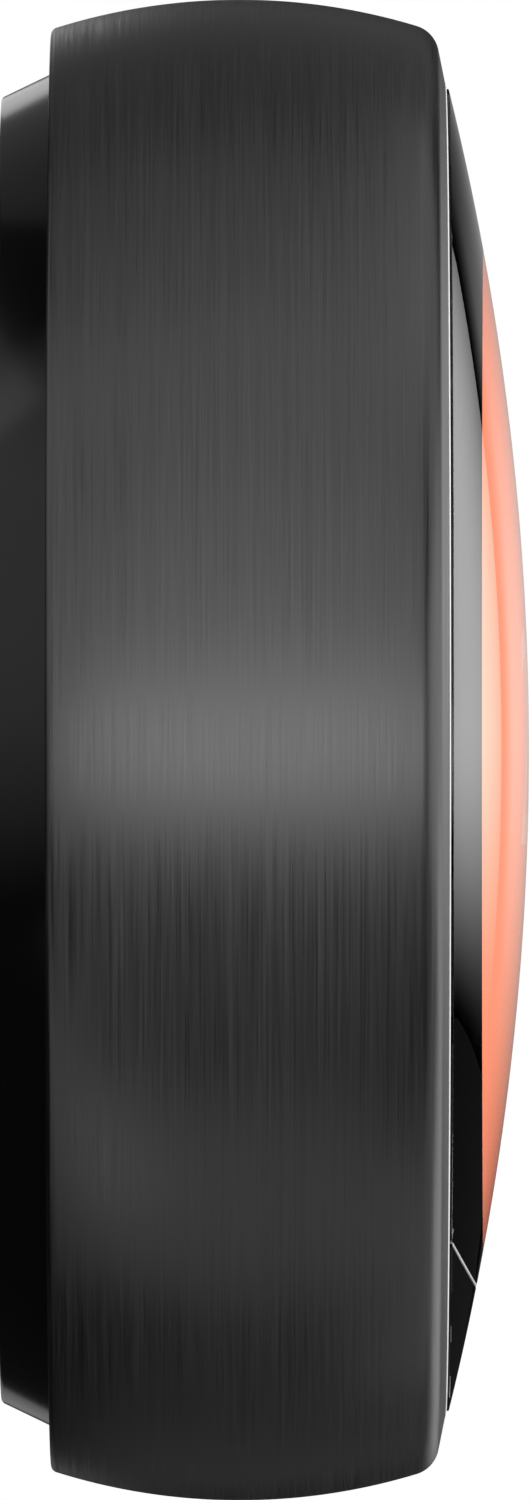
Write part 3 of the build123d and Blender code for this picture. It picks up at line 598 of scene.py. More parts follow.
@dataclass(frozen=True)
class PanelGlow(Finish):
    """Face of a soft panel: white light that fades smoothly in from each edge."""

    name: str
    brightness: float
    left: float
    right: float
    bottom: float
    top: float

    def build(self, shader: Shader) -> bpy.types.Material:
        """The glow is the product of four smooth rises, one from each edge."""
        spread = shader.node("ShaderNodeUVMap", {"uv_map": "panel"}, {})
        across, up, _ = shader.split(spread)
        rise = across.ramped(0.0, self.left) * (1.0 - across).ramped(0.0, self.right)
        rise = rise * up.ramped(0.0, self.bottom) * (1.0 - up).ramped(0.0, self.top)
        return shader.done(shader.coat({
            "Base Color": BLACK,
            "Roughness": 1.0,
            "Specular IOR Level": 0.0,
            "Emission Color": shader.blend(rise, BLACK, WHITE),
            "Emission Strength": self.brightness}))


@dataclass(frozen=True)
class PaleFloor(Finish):
    """Plain pale matt floor."""

    name: str
    colour: Colour

    def build(self, shader: Shader) -> bpy.types.Material:
        """Even tone with faint mottling."""
        mottle = shader.noise(shader.place(), 9.0, 2.0)
        return shader.done(shader.coat({
            "Base Color": shader.blend(mottle, self.colour, scaled(self.colour, 1.02)),
            "Roughness": 0.9}))


DARK_STEEL = TurnedSteel("dark_plated_steel", (0.115, 0.115, 0.118), 0.36)
# The lip's pale satin colour is a painted highlight: it stands in for the light that the ring's front lip
# catches.
LIP_PAINTED_HIGHLIGHT = Moulded("lip_painted_highlight", (0.74, 0.74, 0.74), Texture.SATIN, 0.4)
# The seal's pale grey is a painted highlight: it stands in for the light caught by the chamfered edges of
# the joint between the lens and the sensor window.
SEAL_PAINTED_HIGHLIGHT = SoftSkin("window_seal_painted_highlight", (0.42, 0.42, 0.42), 9000.0, 0.5)
NUMBER_MARK = LitMark("number_mark", (1.0, 0.50, 0.35), 2.0)
TRAY_GLOSS = Moulded("tray_gloss_black", (0.0006, 0.0006, 0.0007), Texture.POLISHED, 0.14)
TRAY_SATIN = Moulded("tray_satin_black", (0.02, 0.02, 0.021), Texture.SATIN, 0.4)
BORDER_BLACK = Moulded("border_black", (0.0015, 0.0015, 0.0016), Texture.POLISHED, 0.6, 0.0)
WINDOW_BLACK = Moulded("window_black", (0.002, 0.0016, 0.0018), Texture.POLISHED, 0.03)
LENS_GLASS = ClearPiece("lens_glass", WHITE, 1.5)
VIAL_PLASTIC = ClearPiece("vial_plastic", (0.97, 1.0, 0.97), 1.49, 0.02)
LEVEL_LIQUID = ClearPiece("level_liquid", (0.62, 0.95, 0.08), 1.36)

SLOT_FINISH: dict[str, Finish] = {
    "spring_steel": WorkedMetal("spring_steel", (0.60, 0.60, 0.58), Grain.TURNED, 0.24),
    "plate_steel": WorkedMetal("plate_steel", (0.56, 0.57, 0.58), Grain.ROLLED, 0.36),
    "bright_steel": WorkedMetal("bright_steel", (0.76, 0.76, 0.75), Grain.PLATED, 0.16),
    "can_metal": WorkedMetal("can_metal", (0.70, 0.71, 0.70), Grain.ROLLED, 0.3),
    "chassis_metal": WorkedMetal("chassis_metal", (0.44, 0.45, 0.46), Grain.CAST, 0.5),
    "battery_wrap": CellWrap("battery_wrap", (0.32, 0.36, 0.42), (0.62, 0.47, 0.09), 0.0, 0.009),
    "brass": WorkedMetal("brass", (0.80, 0.60, 0.26), Grain.ROLLED, 0.25),
    "gold_contact": WorkedMetal("gold_contact", (0.95, 0.72, 0.30), Grain.PLATED, 0.15),
    "tray_black": TRAY_SATIN,
    "housing_black": Moulded("housing_black", (0.022, 0.022, 0.024), Texture.SPARK, 0.5),
    "frame_black": Moulded("frame_black", (0.018, 0.018, 0.02), Texture.SPARK, 0.55),
    "terminal_white": Moulded("terminal_white", (0.76, 0.76, 0.73), Texture.SATIN, 0.42),
    "tab_grey": Moulded("tab_grey", (0.46, 0.47, 0.48), Texture.SATIN, 0.36),
    "connector_black": Moulded("connector_black", (0.035, 0.035, 0.037), Texture.SATIN, 0.45),
    "connector_ivory": Moulded("connector_ivory", (0.74, 0.69, 0.55), Texture.SATIN, 0.45),
    "board_green": Board("board_green", (0.008, 0.085, 0.04)),
    "chip_black": Moulded("chip_black", (0.022, 0.022, 0.024), Texture.SPARK, 0.5),
    "lead_red": SoftSkin("lead_red", (0.46, 0.02, 0.018), 900.0, 0.42),
    "acetal_white": Moulded("acetal_white", (0.80, 0.80, 0.77), Texture.SATIN, 0.38),
    "liner_black": Moulded("liner_black", (0.028, 0.028, 0.03), Texture.SATIN, 0.42),
    "strip_print": Bars("strip_print", (0.62, 0.62, 0.62), (0.012, 0.012, 0.012), 360),
    "sheet_milky": Ribs("sheet_milky", (0.68, 0.68, 0.66), (0.58, 0.58, 0.57), 0.25 * MM, (0.0, -0.032)),
    "gasket_black": SoftSkin("gasket_black", (0.022, 0.022, 0.023), 4200.0, 0.85),
    "backlight_white": Moulded("backlight_white", (0.82, 0.82, 0.81), Texture.SATIN, 0.4),
    "ribbon_amber": Ribs("ribbon_amber", (0.52, 0.25, 0.05), (0.62, 0.34, 0.09), 0.5 * MM),
    "lens_clear": LENS_GLASS,
    "window_black": WINDOW_BLACK,
    "mask_black": BORDER_BLACK,
    "vial_clear": VIAL_PLASTIC,
    "level_green": LEVEL_LIQUID,
    "ring_steel": DARK_STEEL,
}


# ---- Mesh building ---------------------------------------------------------------------------------


def arc(middle: tuple[float, float], radius: float, start: float, end: float, steps: int) -> np.ndarray:
    """Points on a circular arc: middle plus radius times (cosine, sine) of evenly spaced angles.

    Args:
        middle: Centre of the arc, as (radius from the axis, height out).
        radius: The arc's own radius.
        start: First angle, in radians from the direction of growing radius.
        end: Last angle.
        steps: How many equal steps there are between the two.

    Returns:
        An array of steps + 1 points.
    """
    angle = np.linspace(start, end, steps + 1)
    return np.column_stack((middle[0] + radius * np.cos(angle), middle[1] + radius * np.sin(angle)))


def shell(
        name: str, sheet: np.ndarray, capped: bool, finish: Finish, sharp: float = 30.0) -> bpy.types.Object:
    """Closed surface from a grid of points that runs round one way and, if capped, ends in two poles.

    The grid's first index goes along the section and its second goes round. A section that isn't capped
    closes on itself. The enclosed volume, summed over triangles as a sixth of the box product of their
    corners, has to be positive for the faces to point outwards, so where it isn't they are turned over.

    Args:
        name: The piece's name.
        sheet: Points, shaped (along, round, 3). When capped, the first and last rows are single points.
        capped: Whether the first and last rows are poles.
        finish: What the piece is finished in.
        sharp: Angle in degrees between faces above which an edge shades as a corner.

    Returns:
        The new object, at the origin.
    """
    rows, count = sheet.shape[:2]
    body = sheet[1:-1] if capped else sheet
    points = body.reshape(-1, 3)
    index = np.arange(len(points)).reshape(body.shape[:2])
    following = np.roll(index, -1, axis=1)
    if capped:
        quads = np.stack((index[:-1], following[:-1], following[1:], index[1:]), axis=-1).reshape(-1, 4)
        first, last = len(points), len(points) + 1
        points = np.vstack((points, sheet[0, 0], sheet[-1, 0]))
        low = np.stack((np.full(count, first), following[0], index[0]), axis=-1)
        high = np.stack((np.full(count, last), index[-1], following[-1]), axis=-1)
        fans = np.vstack((low, high))
    else:
        next_row = np.roll(index, -1, axis=0)
        next_both = np.roll(following, -1, axis=0)
        quads = np.stack((index, following, next_both, next_row), axis=-1).reshape(-1, 4)
        fans = np.zeros((0, 3), int)
    triangles = np.vstack((quads[:, :3], quads[:, [0, 2, 3]], fans))
    corner = points[triangles]
    if np.einsum("ij,ij->i", corner[:, 0], np.cross(corner[:, 1], corner[:, 2])).sum() < 0:
        quads, fans = quads[:, ::-1], fans[:, ::-1]
    mesh = bpy.data.meshes.new(name)
    mesh.from_pydata(points.tolist(), [], quads.tolist() + fans.tolist())
    mesh.polygons.foreach_set("use_smooth", np.ones(len(mesh.polygons), bool))
    mesh.set_sharp_from_angle(angle=math.radians(sharp))
    return placed(name, mesh, finish)


def placed(name: str, mesh: bpy.types.Mesh, finish: Finish) -> bpy.types.Object:
    """Puts a finished mesh into the scene at the origin.

    Args:
        name: The piece's name.
        mesh: Its mesh.
        finish: What it is finished in.

    Returns:
        The new object.
    """
    mesh.materials.append(finish.material())
    made = bpy.data.objects.new(name, mesh)
    bpy.context.scene.collection.objects.link(made)
    return made


def turned(outline: np.ndarray, turns: int) -> np.ndarray:
    """Grid of an outline turned about the Y axis.

    Each point (r, w) goes to (r times cosine, -w, r times sine) of evenly spaced angles.

    Args:
        outline: Points as (radius, height out).
        turns: How many steps there are round the axis.

    Returns:
        The grid, shaped (points, turns, 3).
    """
    angle = np.linspace(0, math.tau, turns, endpoint=False)
    radius, out = outline[:, :1], outline[:, 1:]
    flat = np.zeros((1, turns))
    return np.stack((radius * np.cos(angle), flat - out, radius * np.sin(angle)), axis=-1)


def dress(names: Sequence[str]) -> None:
    """Gives CAD nodes the finish of the slot that the record names for them.

    Args:
        names: Node names.
    """
    slots = {row["node"]: row["material_slot"] for row in frame["record"]["subparts"]}
    for name in names:
        node = frame["nodes"][name]
        node.data.materials.clear()
        node.data.materials.append(SLOT_FINISH[slots[name]].material())


def fit(piece: bpy.types.Object, body: str, slot: str, *nodes: str) -> None:
    """Puts a piece on its body and hides the nodes that it stands for.

    Args:
        piece: The new piece.
        body: The CAD body that it rides on.
        slot: The record's material slot; not used.
        nodes: CAD nodes that it replaces, if any.
    """
    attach(piece, body)
    if nodes:
        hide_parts(*nodes)
    LOG.info("%s rides on %s", piece.name, body)


# ---- Turning ring ----------------------------------------------------------------------------------


@dataclass
class TurningRing:
    """The steel ring, its pale lip, whose colour is a painted highlight, and what it carries inside."""

    radius: float
    back: float
    front: float
    body: str = "turning_ring"
    widest: float = 13.3 * MM
    barrel: float = 34.2 * MM
    bore: float = 38.6 * MM
    opening: float = 37.15 * MM
    flange: float = 22.75 * MM
    edge: float = 1.75 * MM
    back_edge: float = 0.4 * MM
    slope: float = 0.2
    lip_width: float = 0.22 * MM
    lip_depth: float = 0.12 * MM
    lip_rise: float = 0.02 * MM
    bore_chamfer: float = 0.3 * MM
    turns: int = 384
    barrel_steps: int = 72
    corner_steps: int = 16
    crown_steps: int = 10
    heel_steps: int = 8
    carried: tuple[str, ...] = ("ring_liner", "encoder_strip", "ring_retainer")

    @classmethod
    def from_frame(cls) -> "TurningRing":
        """Ring with the size that the CAD node has."""
        low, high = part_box("outer_ring")
        return cls(radius=high.x, back=-high.y, front=-low.y)

    def outline(self) -> np.ndarray:
        """Closed section of the ring.

        The outside is an arc of the barrel's radius about a middle that puts its widest point at the
        ring's radius. It meets the shallow front cone in a rounding: a circle at one rounding's distance
        from both, whose middle solves a quadratic.

        Returns:
            Points as (radius, height out), going round the section.
        """
        middle = (self.radius - self.barrel, self.widest)
        pull = math.hypot(1.0, self.slope)
        base = self.front + self.slope * self.opening - self.edge * pull - middle[1]
        reach = self.barrel - self.edge
        a = 1 + self.slope ** 2
        b = -2 * (middle[0] + self.slope * base)
        c = middle[0] ** 2 + base ** 2 - reach ** 2
        across = (-b + math.sqrt(b * b - 4 * a * c)) / (2 * a)
        turn = (across, middle[1] + base - self.slope * across)
        meet = math.atan2(turn[1] - middle[1], turn[0] - middle[0])
        cone = math.atan2(1.0, self.slope)
        small = self.barrel - self.back_edge
        drop = (self.back + self.back_edge - middle[1]) / small
        heel = (middle[0] + small * math.sqrt(1 - drop ** 2), self.back + self.back_edge)
        heel_angle = math.asin(drop)
        back_turn = arc(heel, self.back_edge, -math.pi / 2, heel_angle, self.heel_steps)
        side = arc(middle, self.barrel, heel_angle, meet, self.barrel_steps)
        front_turn = arc(turn, self.edge, meet, cone, self.corner_steps)
        seat = self.opening + self.lip_width
        step = self.front - self.slope * self.lip_width
        rest = np.array([
            (seat, step), (seat, step - self.lip_depth), (self.opening, step - self.lip_depth),
            (self.opening, self.flange), (self.bore, self.flange),
            (self.bore, self.back + self.bore_chamfer), (self.bore + self.bore_chamfer, self.back)])
        return np.vstack((back_turn, side[1:], front_turn[1:], rest))

    def lip_outline(self) -> np.ndarray:
        """Closed section of the pale lip that lines the opening, whose colour is a painted highlight: a low
        step with a rounded top.
        """
        outer = self.opening + self.lip_width
        low = self.front - self.slope * self.lip_width - self.lip_depth
        top = self.front + self.lip_rise
        round_top = self.lip_width / 2
        middle = (self.opening + round_top, top - round_top)
        crown = arc(middle, round_top, 0.0, math.pi, self.crown_steps)
        return np.vstack(((self.opening, low), (outer, low), crown))

    def build(self) -> None:
        """Makes the ring and its edge, and dresses what they carry."""
        ring = shell("steel_ring", turned(self.outline(), self.turns), False, DARK_STEEL)
        fit(ring, self.body, "ring_steel", "outer_ring")
        # The lip is finished in a pale colour that paints its highlight.
        lip = shell("ring_lip_painted_highlight", turned(self.lip_outline(), self.turns), False, LIP_PAINTED_HIGHLIGHT)
        fit(lip, self.body, "ring_steel")
        dress(self.carried)


# ---- Domed front -----------------------------------------------------------------------------------


@dataclass
class DomedFront:
    """Clear lens with its black border, the sensor window below it and the lit screen behind it."""

    crown: float
    radius: float
    body: str = "front_carriage"
    sphere: float = 154.6 * MM
    lens_floor: float = 24.9 * MM
    back: float = 23.0 * MM
    window_arc: float = 111.0 * MM
    window_rise: float = 81.0 * MM
    gap: float = 0.12 * MM
    bevel: float = 0.1 * MM
    screen_radius: float = 27.66 * MM
    screen_face: float = 24.955 * MM
    border_face: float = 24.95 * MM
    border_margin: float = 0.03 * MM
    bevel_share: float = 0.3
    tip_cut: float = 0.02 * MM
    thinnest: float = 0.001 * MM
    sections: int = 121
    window_steps: int = 13
    screen_inset: float = 0.02 * MM
    screen_seat: float = 0.9 * MM
    screen_colour: Colour = (1.0, 0.35, 0.21)
    screen_rim_colour: Colour = (0.95, 0.275, 0.16)
    screen_strength: float = 2.0
    seal_cut: float = 0.3 * MM
    seal_inset: float = 0.005 * MM
    seal_drop: float = 0.02 * MM
    mark_rise: float = 0.01 * MM
    number_height: float = 17.0 * MM
    reading: str = "21"
    turns: int = 360
    rings: int = 40
    carried: tuple[str, ...] = (
        "front_frame", "glide_ring", "lens_gasket", "backlight", "display_flex", "sensor_board",
        "sensor_chips", "fresnel_sheet", "guide_pins", "pin_clips", "press_stem")

    @classmethod
    def from_frame(cls) -> "DomedFront":
        """Front with the size that the CAD nodes have."""
        low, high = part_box("front_lens")
        return cls(crown=-low.y, radius=high.x)

    def height(self, reach: np.ndarray) -> np.ndarray:
        """Height of the dome at a distance from the middle: the sphere's cap below its crown."""
        return self.crown - self.sphere + np.sqrt(self.sphere ** 2 - reach ** 2)

    def corner_angle(self, inset: float) -> float:
        """Angle at which the joint, set back by an inset, meets the lens's rim.

        Points on both circles are at a height where the difference of their equations is zero.

        Args:
            inset: How far the joint's circle is set back.

        Returns:
            The angle from +X of the right-hand corner, in radians.
        """
        joint = self.window_arc - inset
        height = (self.radius ** 2 + self.window_rise ** 2 - joint ** 2) / (2 * self.window_rise)
        return math.asin(height / self.radius)

    def reach(self, angle: np.ndarray, inset: float, radius: float) -> np.ndarray:
        """Distance from the middle to the lens's outline along each angle.

        It is the smaller of the rim's radius and the way to the joint's circle, which is the positive
        root of the quadratic for a ray from the middle.

        Args:
            angle: Angles from +X, in radians.
            inset: How far the joint is set back.
            radius: The rim's radius.

        Returns:
            One distance for each angle.
        """
        joint = self.window_arc - inset
        rise = self.window_rise * np.sin(angle)
        to_joint = rise + np.sqrt(rise ** 2 + joint ** 2 - self.window_rise ** 2)
        return np.minimum(radius, to_joint)

    def angles(self, inset: float) -> np.ndarray:
        """Angles round the lens, with the joint's two corners among them."""
        corner = self.corner_angle(inset)
        over = np.linspace(corner, math.pi - corner, self.turns * 3 // 4, endpoint=False)
        under = np.linspace(math.pi - corner, math.tau + corner, self.turns // 4, endpoint=False)
        return np.concatenate((over, under))

    def swept(self, sections: Sequence[tuple[np.ndarray, np.ndarray]], angle: np.ndarray) -> np.ndarray:
        """Grid from rows of (distance, height out), one pair of arrays for each row."""
        return np.array([
            np.stack((far * np.cos(angle), -high, far * np.sin(angle)), axis=-1) for far, high in sections])

    def lens(self) -> bpy.types.Object:
        """Solid clear lens: a flat back, an upright edge, a small bevel and the dome."""
        angle = self.angles(self.gap)
        rim = self.reach(angle, self.gap, self.radius)
        lead = self.bevel * self.bevel_share
        inner = self.reach(angle, self.gap + self.bevel, self.radius - lead)
        flat = np.ones_like(angle)
        floor = [(rim * share, self.lens_floor * flat) for share in (0.0, 0.5, 1.0)]
        side = [(rim, self.height(inner) - lead)]
        cap = [(inner * share, self.height(inner * share)) for share in np.linspace(1.0, 0.0, self.rings)]
        return shell("front_glass", self.swept(floor + side + cap, angle), True, LENS_GLASS)

    def border(self) -> bpy.types.Object:
        """Black ring under the lens, from the screen out to the rim and the joint."""
        angle = self.angles(self.gap)
        rim = self.reach(angle, self.gap + self.border_margin, self.radius - self.border_margin)
        hole = np.full_like(angle, self.screen_radius)
        flat = np.ones_like(angle)
        rows = [
            (hole, self.back * flat), (rim, self.back * flat),
            (rim, self.border_face * flat), (hole, self.border_face * flat)]
        return shell("front_border", self.swept(rows, angle), False, BORDER_BLACK)

    def window(self) -> bpy.types.Object:
        """Sensor window: the crescent between the joint and the rim, under the same dome.

        Sections stand side by side from tip to tip. At each x, the crescent runs from the joint's circle
        down to the rim's circle, and its top follows the dome's height.

        Returns:
            The new piece.
        """
        half = self.radius * math.cos(self.corner_angle(0.0)) - self.tip_cut
        x = -half * np.cos(np.linspace(0.0, math.pi, self.sections))
        top = self.window_rise - np.sqrt(self.window_arc ** 2 - x ** 2)
        bottom = -np.sqrt(self.radius ** 2 - x ** 2)
        depth = np.maximum(top - bottom, self.thinnest)
        notch = np.minimum(self.bevel, depth * self.bevel_share)
        lead = notch * self.bevel_share
        rows = [(top, self.back), (bottom, self.back)]
        outer = self.height(np.hypot(x, bottom + lead))
        rows.append((bottom, outer - lead))
        rows += [
            (bottom + lead + (depth - notch - lead) * share,
             self.height(np.hypot(x, bottom + lead + (depth - notch - lead) * share)))
            for share in np.linspace(0.0, 1.0, self.window_steps)]
        rows.append((top, self.height(np.hypot(x, top)) - notch))
        sheet = np.array([
            np.stack((x, -np.broadcast_to(out, x.shape), z), axis=-1)
            for z, out in rows]).transpose(1, 0, 2)
        ends = [np.broadcast_to(sheet[i].mean(axis=0), sheet[i].shape) for i in (0, -1)]
        return shell("sensor_glass", np.concatenate((ends[:1], sheet, ends[1:])), True, WINDOW_BLACK)

    def screen(self) -> bpy.types.Object:
        """Lit screen: a low disc just under the lens's flat back."""
        glow = LitScreen(
            "lit_screen", self.screen_colour, self.screen_rim_colour, self.screen_strength,
            self.screen_radius)
        edge = self.screen_radius - self.screen_inset
        low = self.back + self.screen_seat
        outline = np.array([
            (0.0, low), (edge, low), (edge, self.screen_face), (edge * 0.66, self.screen_face),
            (edge * 0.33, self.screen_face), (0.0, self.screen_face)])
        return shell("lit_screen", turned(outline, self.turns // 2), True, glow)

    def seal(self) -> bpy.types.Object:
        """Seal that fills the joint, pale grey as a painted highlight along the joint's chamfered edges: a
        strip as wide as the gap, which follows the joint's circle.

        Each section is a small upright oblong, and sections stand side by side from tip to tip.

        Returns:
            The new piece.
        """
        half = self.radius * math.cos(self.corner_angle(0.0)) - self.seal_cut
        x = np.linspace(-half, half, self.sections)
        inner_arc = self.window_arc - self.gap + self.seal_inset
        outer_arc = self.window_arc - self.seal_inset
        upper = self.window_rise - np.sqrt(inner_arc ** 2 - x ** 2)
        lower = self.window_rise - np.sqrt(outer_arc ** 2 - x ** 2)
        top = self.height(np.hypot(x, upper)) - self.seal_drop
        low = np.full_like(x, self.lens_floor)
        corners = ((lower, low), (upper, low), (upper, top), (lower, top))
        sheet = np.array([np.stack((x, -out, z), axis=-1) for z, out in corners]).transpose(1, 0, 2)
        ends = [np.broadcast_to(sheet[i].mean(axis=0), sheet[i].shape) for i in (0, -1)]
        # The strip's pale grey paints the highlight along the joint.
        return shell("window_seal", np.concatenate((ends[:1], sheet, ends[1:])), True, SEAL_PAINTED_HIGHLIGHT)

    def number(self) -> bpy.types.Object:
        """The set temperature, a plain number in the middle of the dial."""
        text = bpy.data.curves.new("dial_number", "FONT")
        text.body = self.reading
        text.size = self.number_height
        text.extrude = self.mark_rise
        text.align_x = "CENTER"
        text.align_y = "CENTER"
        holder = bpy.data.objects.new("dial_number_text", text)
        mesh = bpy.data.meshes.new_from_object(holder)
        bpy.data.objects.remove(holder)
        mesh.name = "dial_number"
        flat = np.zeros(len(mesh.vertices) * 3)
        mesh.vertices.foreach_get("co", flat)
        flat = flat.reshape(-1, 3)
        stood = np.column_stack((flat[:, 0], -self.screen_face - flat[:, 2], flat[:, 1]))
        mesh.vertices.foreach_set("co", stood.ravel())
        mesh.materials.clear()
        return placed("dial_number", mesh, NUMBER_MARK)

    def build(self) -> None:
        """Makes the front pieces and dresses what stands behind them."""
        fit(self.seal(), self.body, "gasket_black")
        fit(self.number(), self.body, "screen_orange")
        fit(self.lens(), self.body, "lens_clear", "front_lens")
        fit(self.border(), self.body, "mask_black", "lens_mask")
        fit(self.window(), self.body, "window_black", "sensor_window")
        fit(self.screen(), self.body, "screen_orange", "display_panel")
        dress(self.carried)


# ---- Wall unit -------------------------------------------------------------------------------------


@dataclass
class WallUnit:
    """The tray that stays on the wall, its terminals and its bubble level."""

    body: str = "wall_unit"
    foot: float = 36.6 * MM
    top: float = 37.9 * MM
    knee: float = 2.9 * MM
    wall_top: float = 9.0 * MM
    edge: float = 0.3 * MM
    skin: float = 0.02 * MM
    thickness: float = 0.3 * MM
    knee_bend: float = 0.12 * MM
    toe_steps: int = 8
    bend_steps: int = 6
    turns: int = 384
    vial_rounding: float = 0.4 * MM
    vial_turns: int = 64
    carried: tuple[str, ...] = (
        "wall_tray", "base_board", "terminal_blocks", "terminal_clips", "tab_springs", "face_plate",
        "plate_screws", "base_connector", "socket_contacts", "latch_springs")
    tabs: int = 10

    def skirt(self) -> bpy.types.Object:
        """Polished skirt: a thin shell over the tray's flaring side, with a rounded foot and knee."""
        lean = math.atan2(self.knee - self.edge, self.top - self.foot)
        foot = self.foot + self.skin
        toe_middle = (foot - self.edge, self.edge)
        toe = arc(toe_middle, self.edge, -math.pi / 2, lean - math.pi / 2, self.toe_steps)
        knee_middle = (self.top + self.skin - self.knee_bend, self.knee + self.knee_bend / 2)
        knee_turn = arc(knee_middle, self.knee_bend, lean - math.pi / 2, 0.0, self.bend_steps)
        inner = np.array([
            (self.top - self.thickness, self.wall_top), (self.top - self.thickness, self.knee + self.edge),
            (self.foot - self.thickness, self.edge), (self.foot - self.edge - self.skin, 0.0)])
        outline = np.vstack((toe, knee_turn, (self.top + self.skin, self.wall_top), inner))
        return shell("tray_skirt", turned(outline, self.turns), False, TRAY_GLOSS)

    def lying(self, node: str, name: str, finish: Finish, rounding: float) -> bpy.types.Object:
        """Round bar along X in the place of a node: an outline turned about the bar's own axis.

        Args:
            node: The CAD node whose box gives the bar's length, radius and place.
            name: The piece's name.
            finish: What it is finished in.
            rounding: Radius of its end edges.

        Returns:
            The new piece.
        """
        low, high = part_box(node)
        radius = (high.z - low.z) / 2
        steps = self.bend_steps
        far = arc((radius - rounding, high.x - rounding), rounding, 0.0, math.pi / 2, steps)
        near = arc((radius - rounding, low.x + rounding), rounding, -math.pi / 2, 0.0, steps)
        outline = np.vstack(((0.0, low.x), near, far, (0.0, high.x)))
        grid = turned(outline, self.vial_turns)
        middle = ((low.y + high.y) / 2, (low.z + high.z) / 2)
        laid = np.stack((-grid[..., 1], grid[..., 0] + middle[0], grid[..., 2] + middle[1]), axis=-1)
        return shell(name, laid, True, finish)

    def build(self) -> None:
        """Makes the skirt and the level, and dresses the tray and its terminals."""
        fit(self.skirt(), self.body, "tray_black")
        vial = self.lying("level_vial", "vial_tube", VIAL_PLASTIC, self.vial_rounding)
        fit(vial, self.body, "vial_clear", "level_vial")
        dress((*self.carried, "level_liquid"))
        dress([f"terminal_tab_{number}" for number in range(1, self.tabs + 1)])


# ---- Back half of the display unit -----------------------------------------------------------------


@dataclass
class DisplayBack:
    """Rear housing with the battery, the boards, the switch and the guides."""

    carried: tuple[str, ...] = (
        "rear_housing", "display_plug", "battery", "battery_lead", "main_board", "board_chips",
        "shield_cans", "board_connectors", "sounder", "click_switch", "switch_dome", "usb_socket",
        "air_sensor", "turn_sensor", "chassis_plate", "chassis_screws", "guide_bushes", "return_springs")

    def build(self) -> None:
        """Dresses every node of the back half."""
        dress(self.carried)


# ---- Studio ----------------------------------------------------------------------------------------


@dataclass(frozen=True)
class Softbox:
    """A soft lamp: its direction from the object, the angle that it fills and how bright its face is."""

    name: str
    azimuth: float
    elevation: float
    width: float
    height: float
    brightness: float


@dataclass(frozen=True)
class SoftPanel(Softbox):
    """A lamp whose face fades towards its edges.

    The fades are shares of its width at the left and right and of its height at the bottom and top, as
    seen from the object.
    """

    left: float = 0.2
    right: float = 0.2
    bottom: float = 0.2
    top: float = 0.2


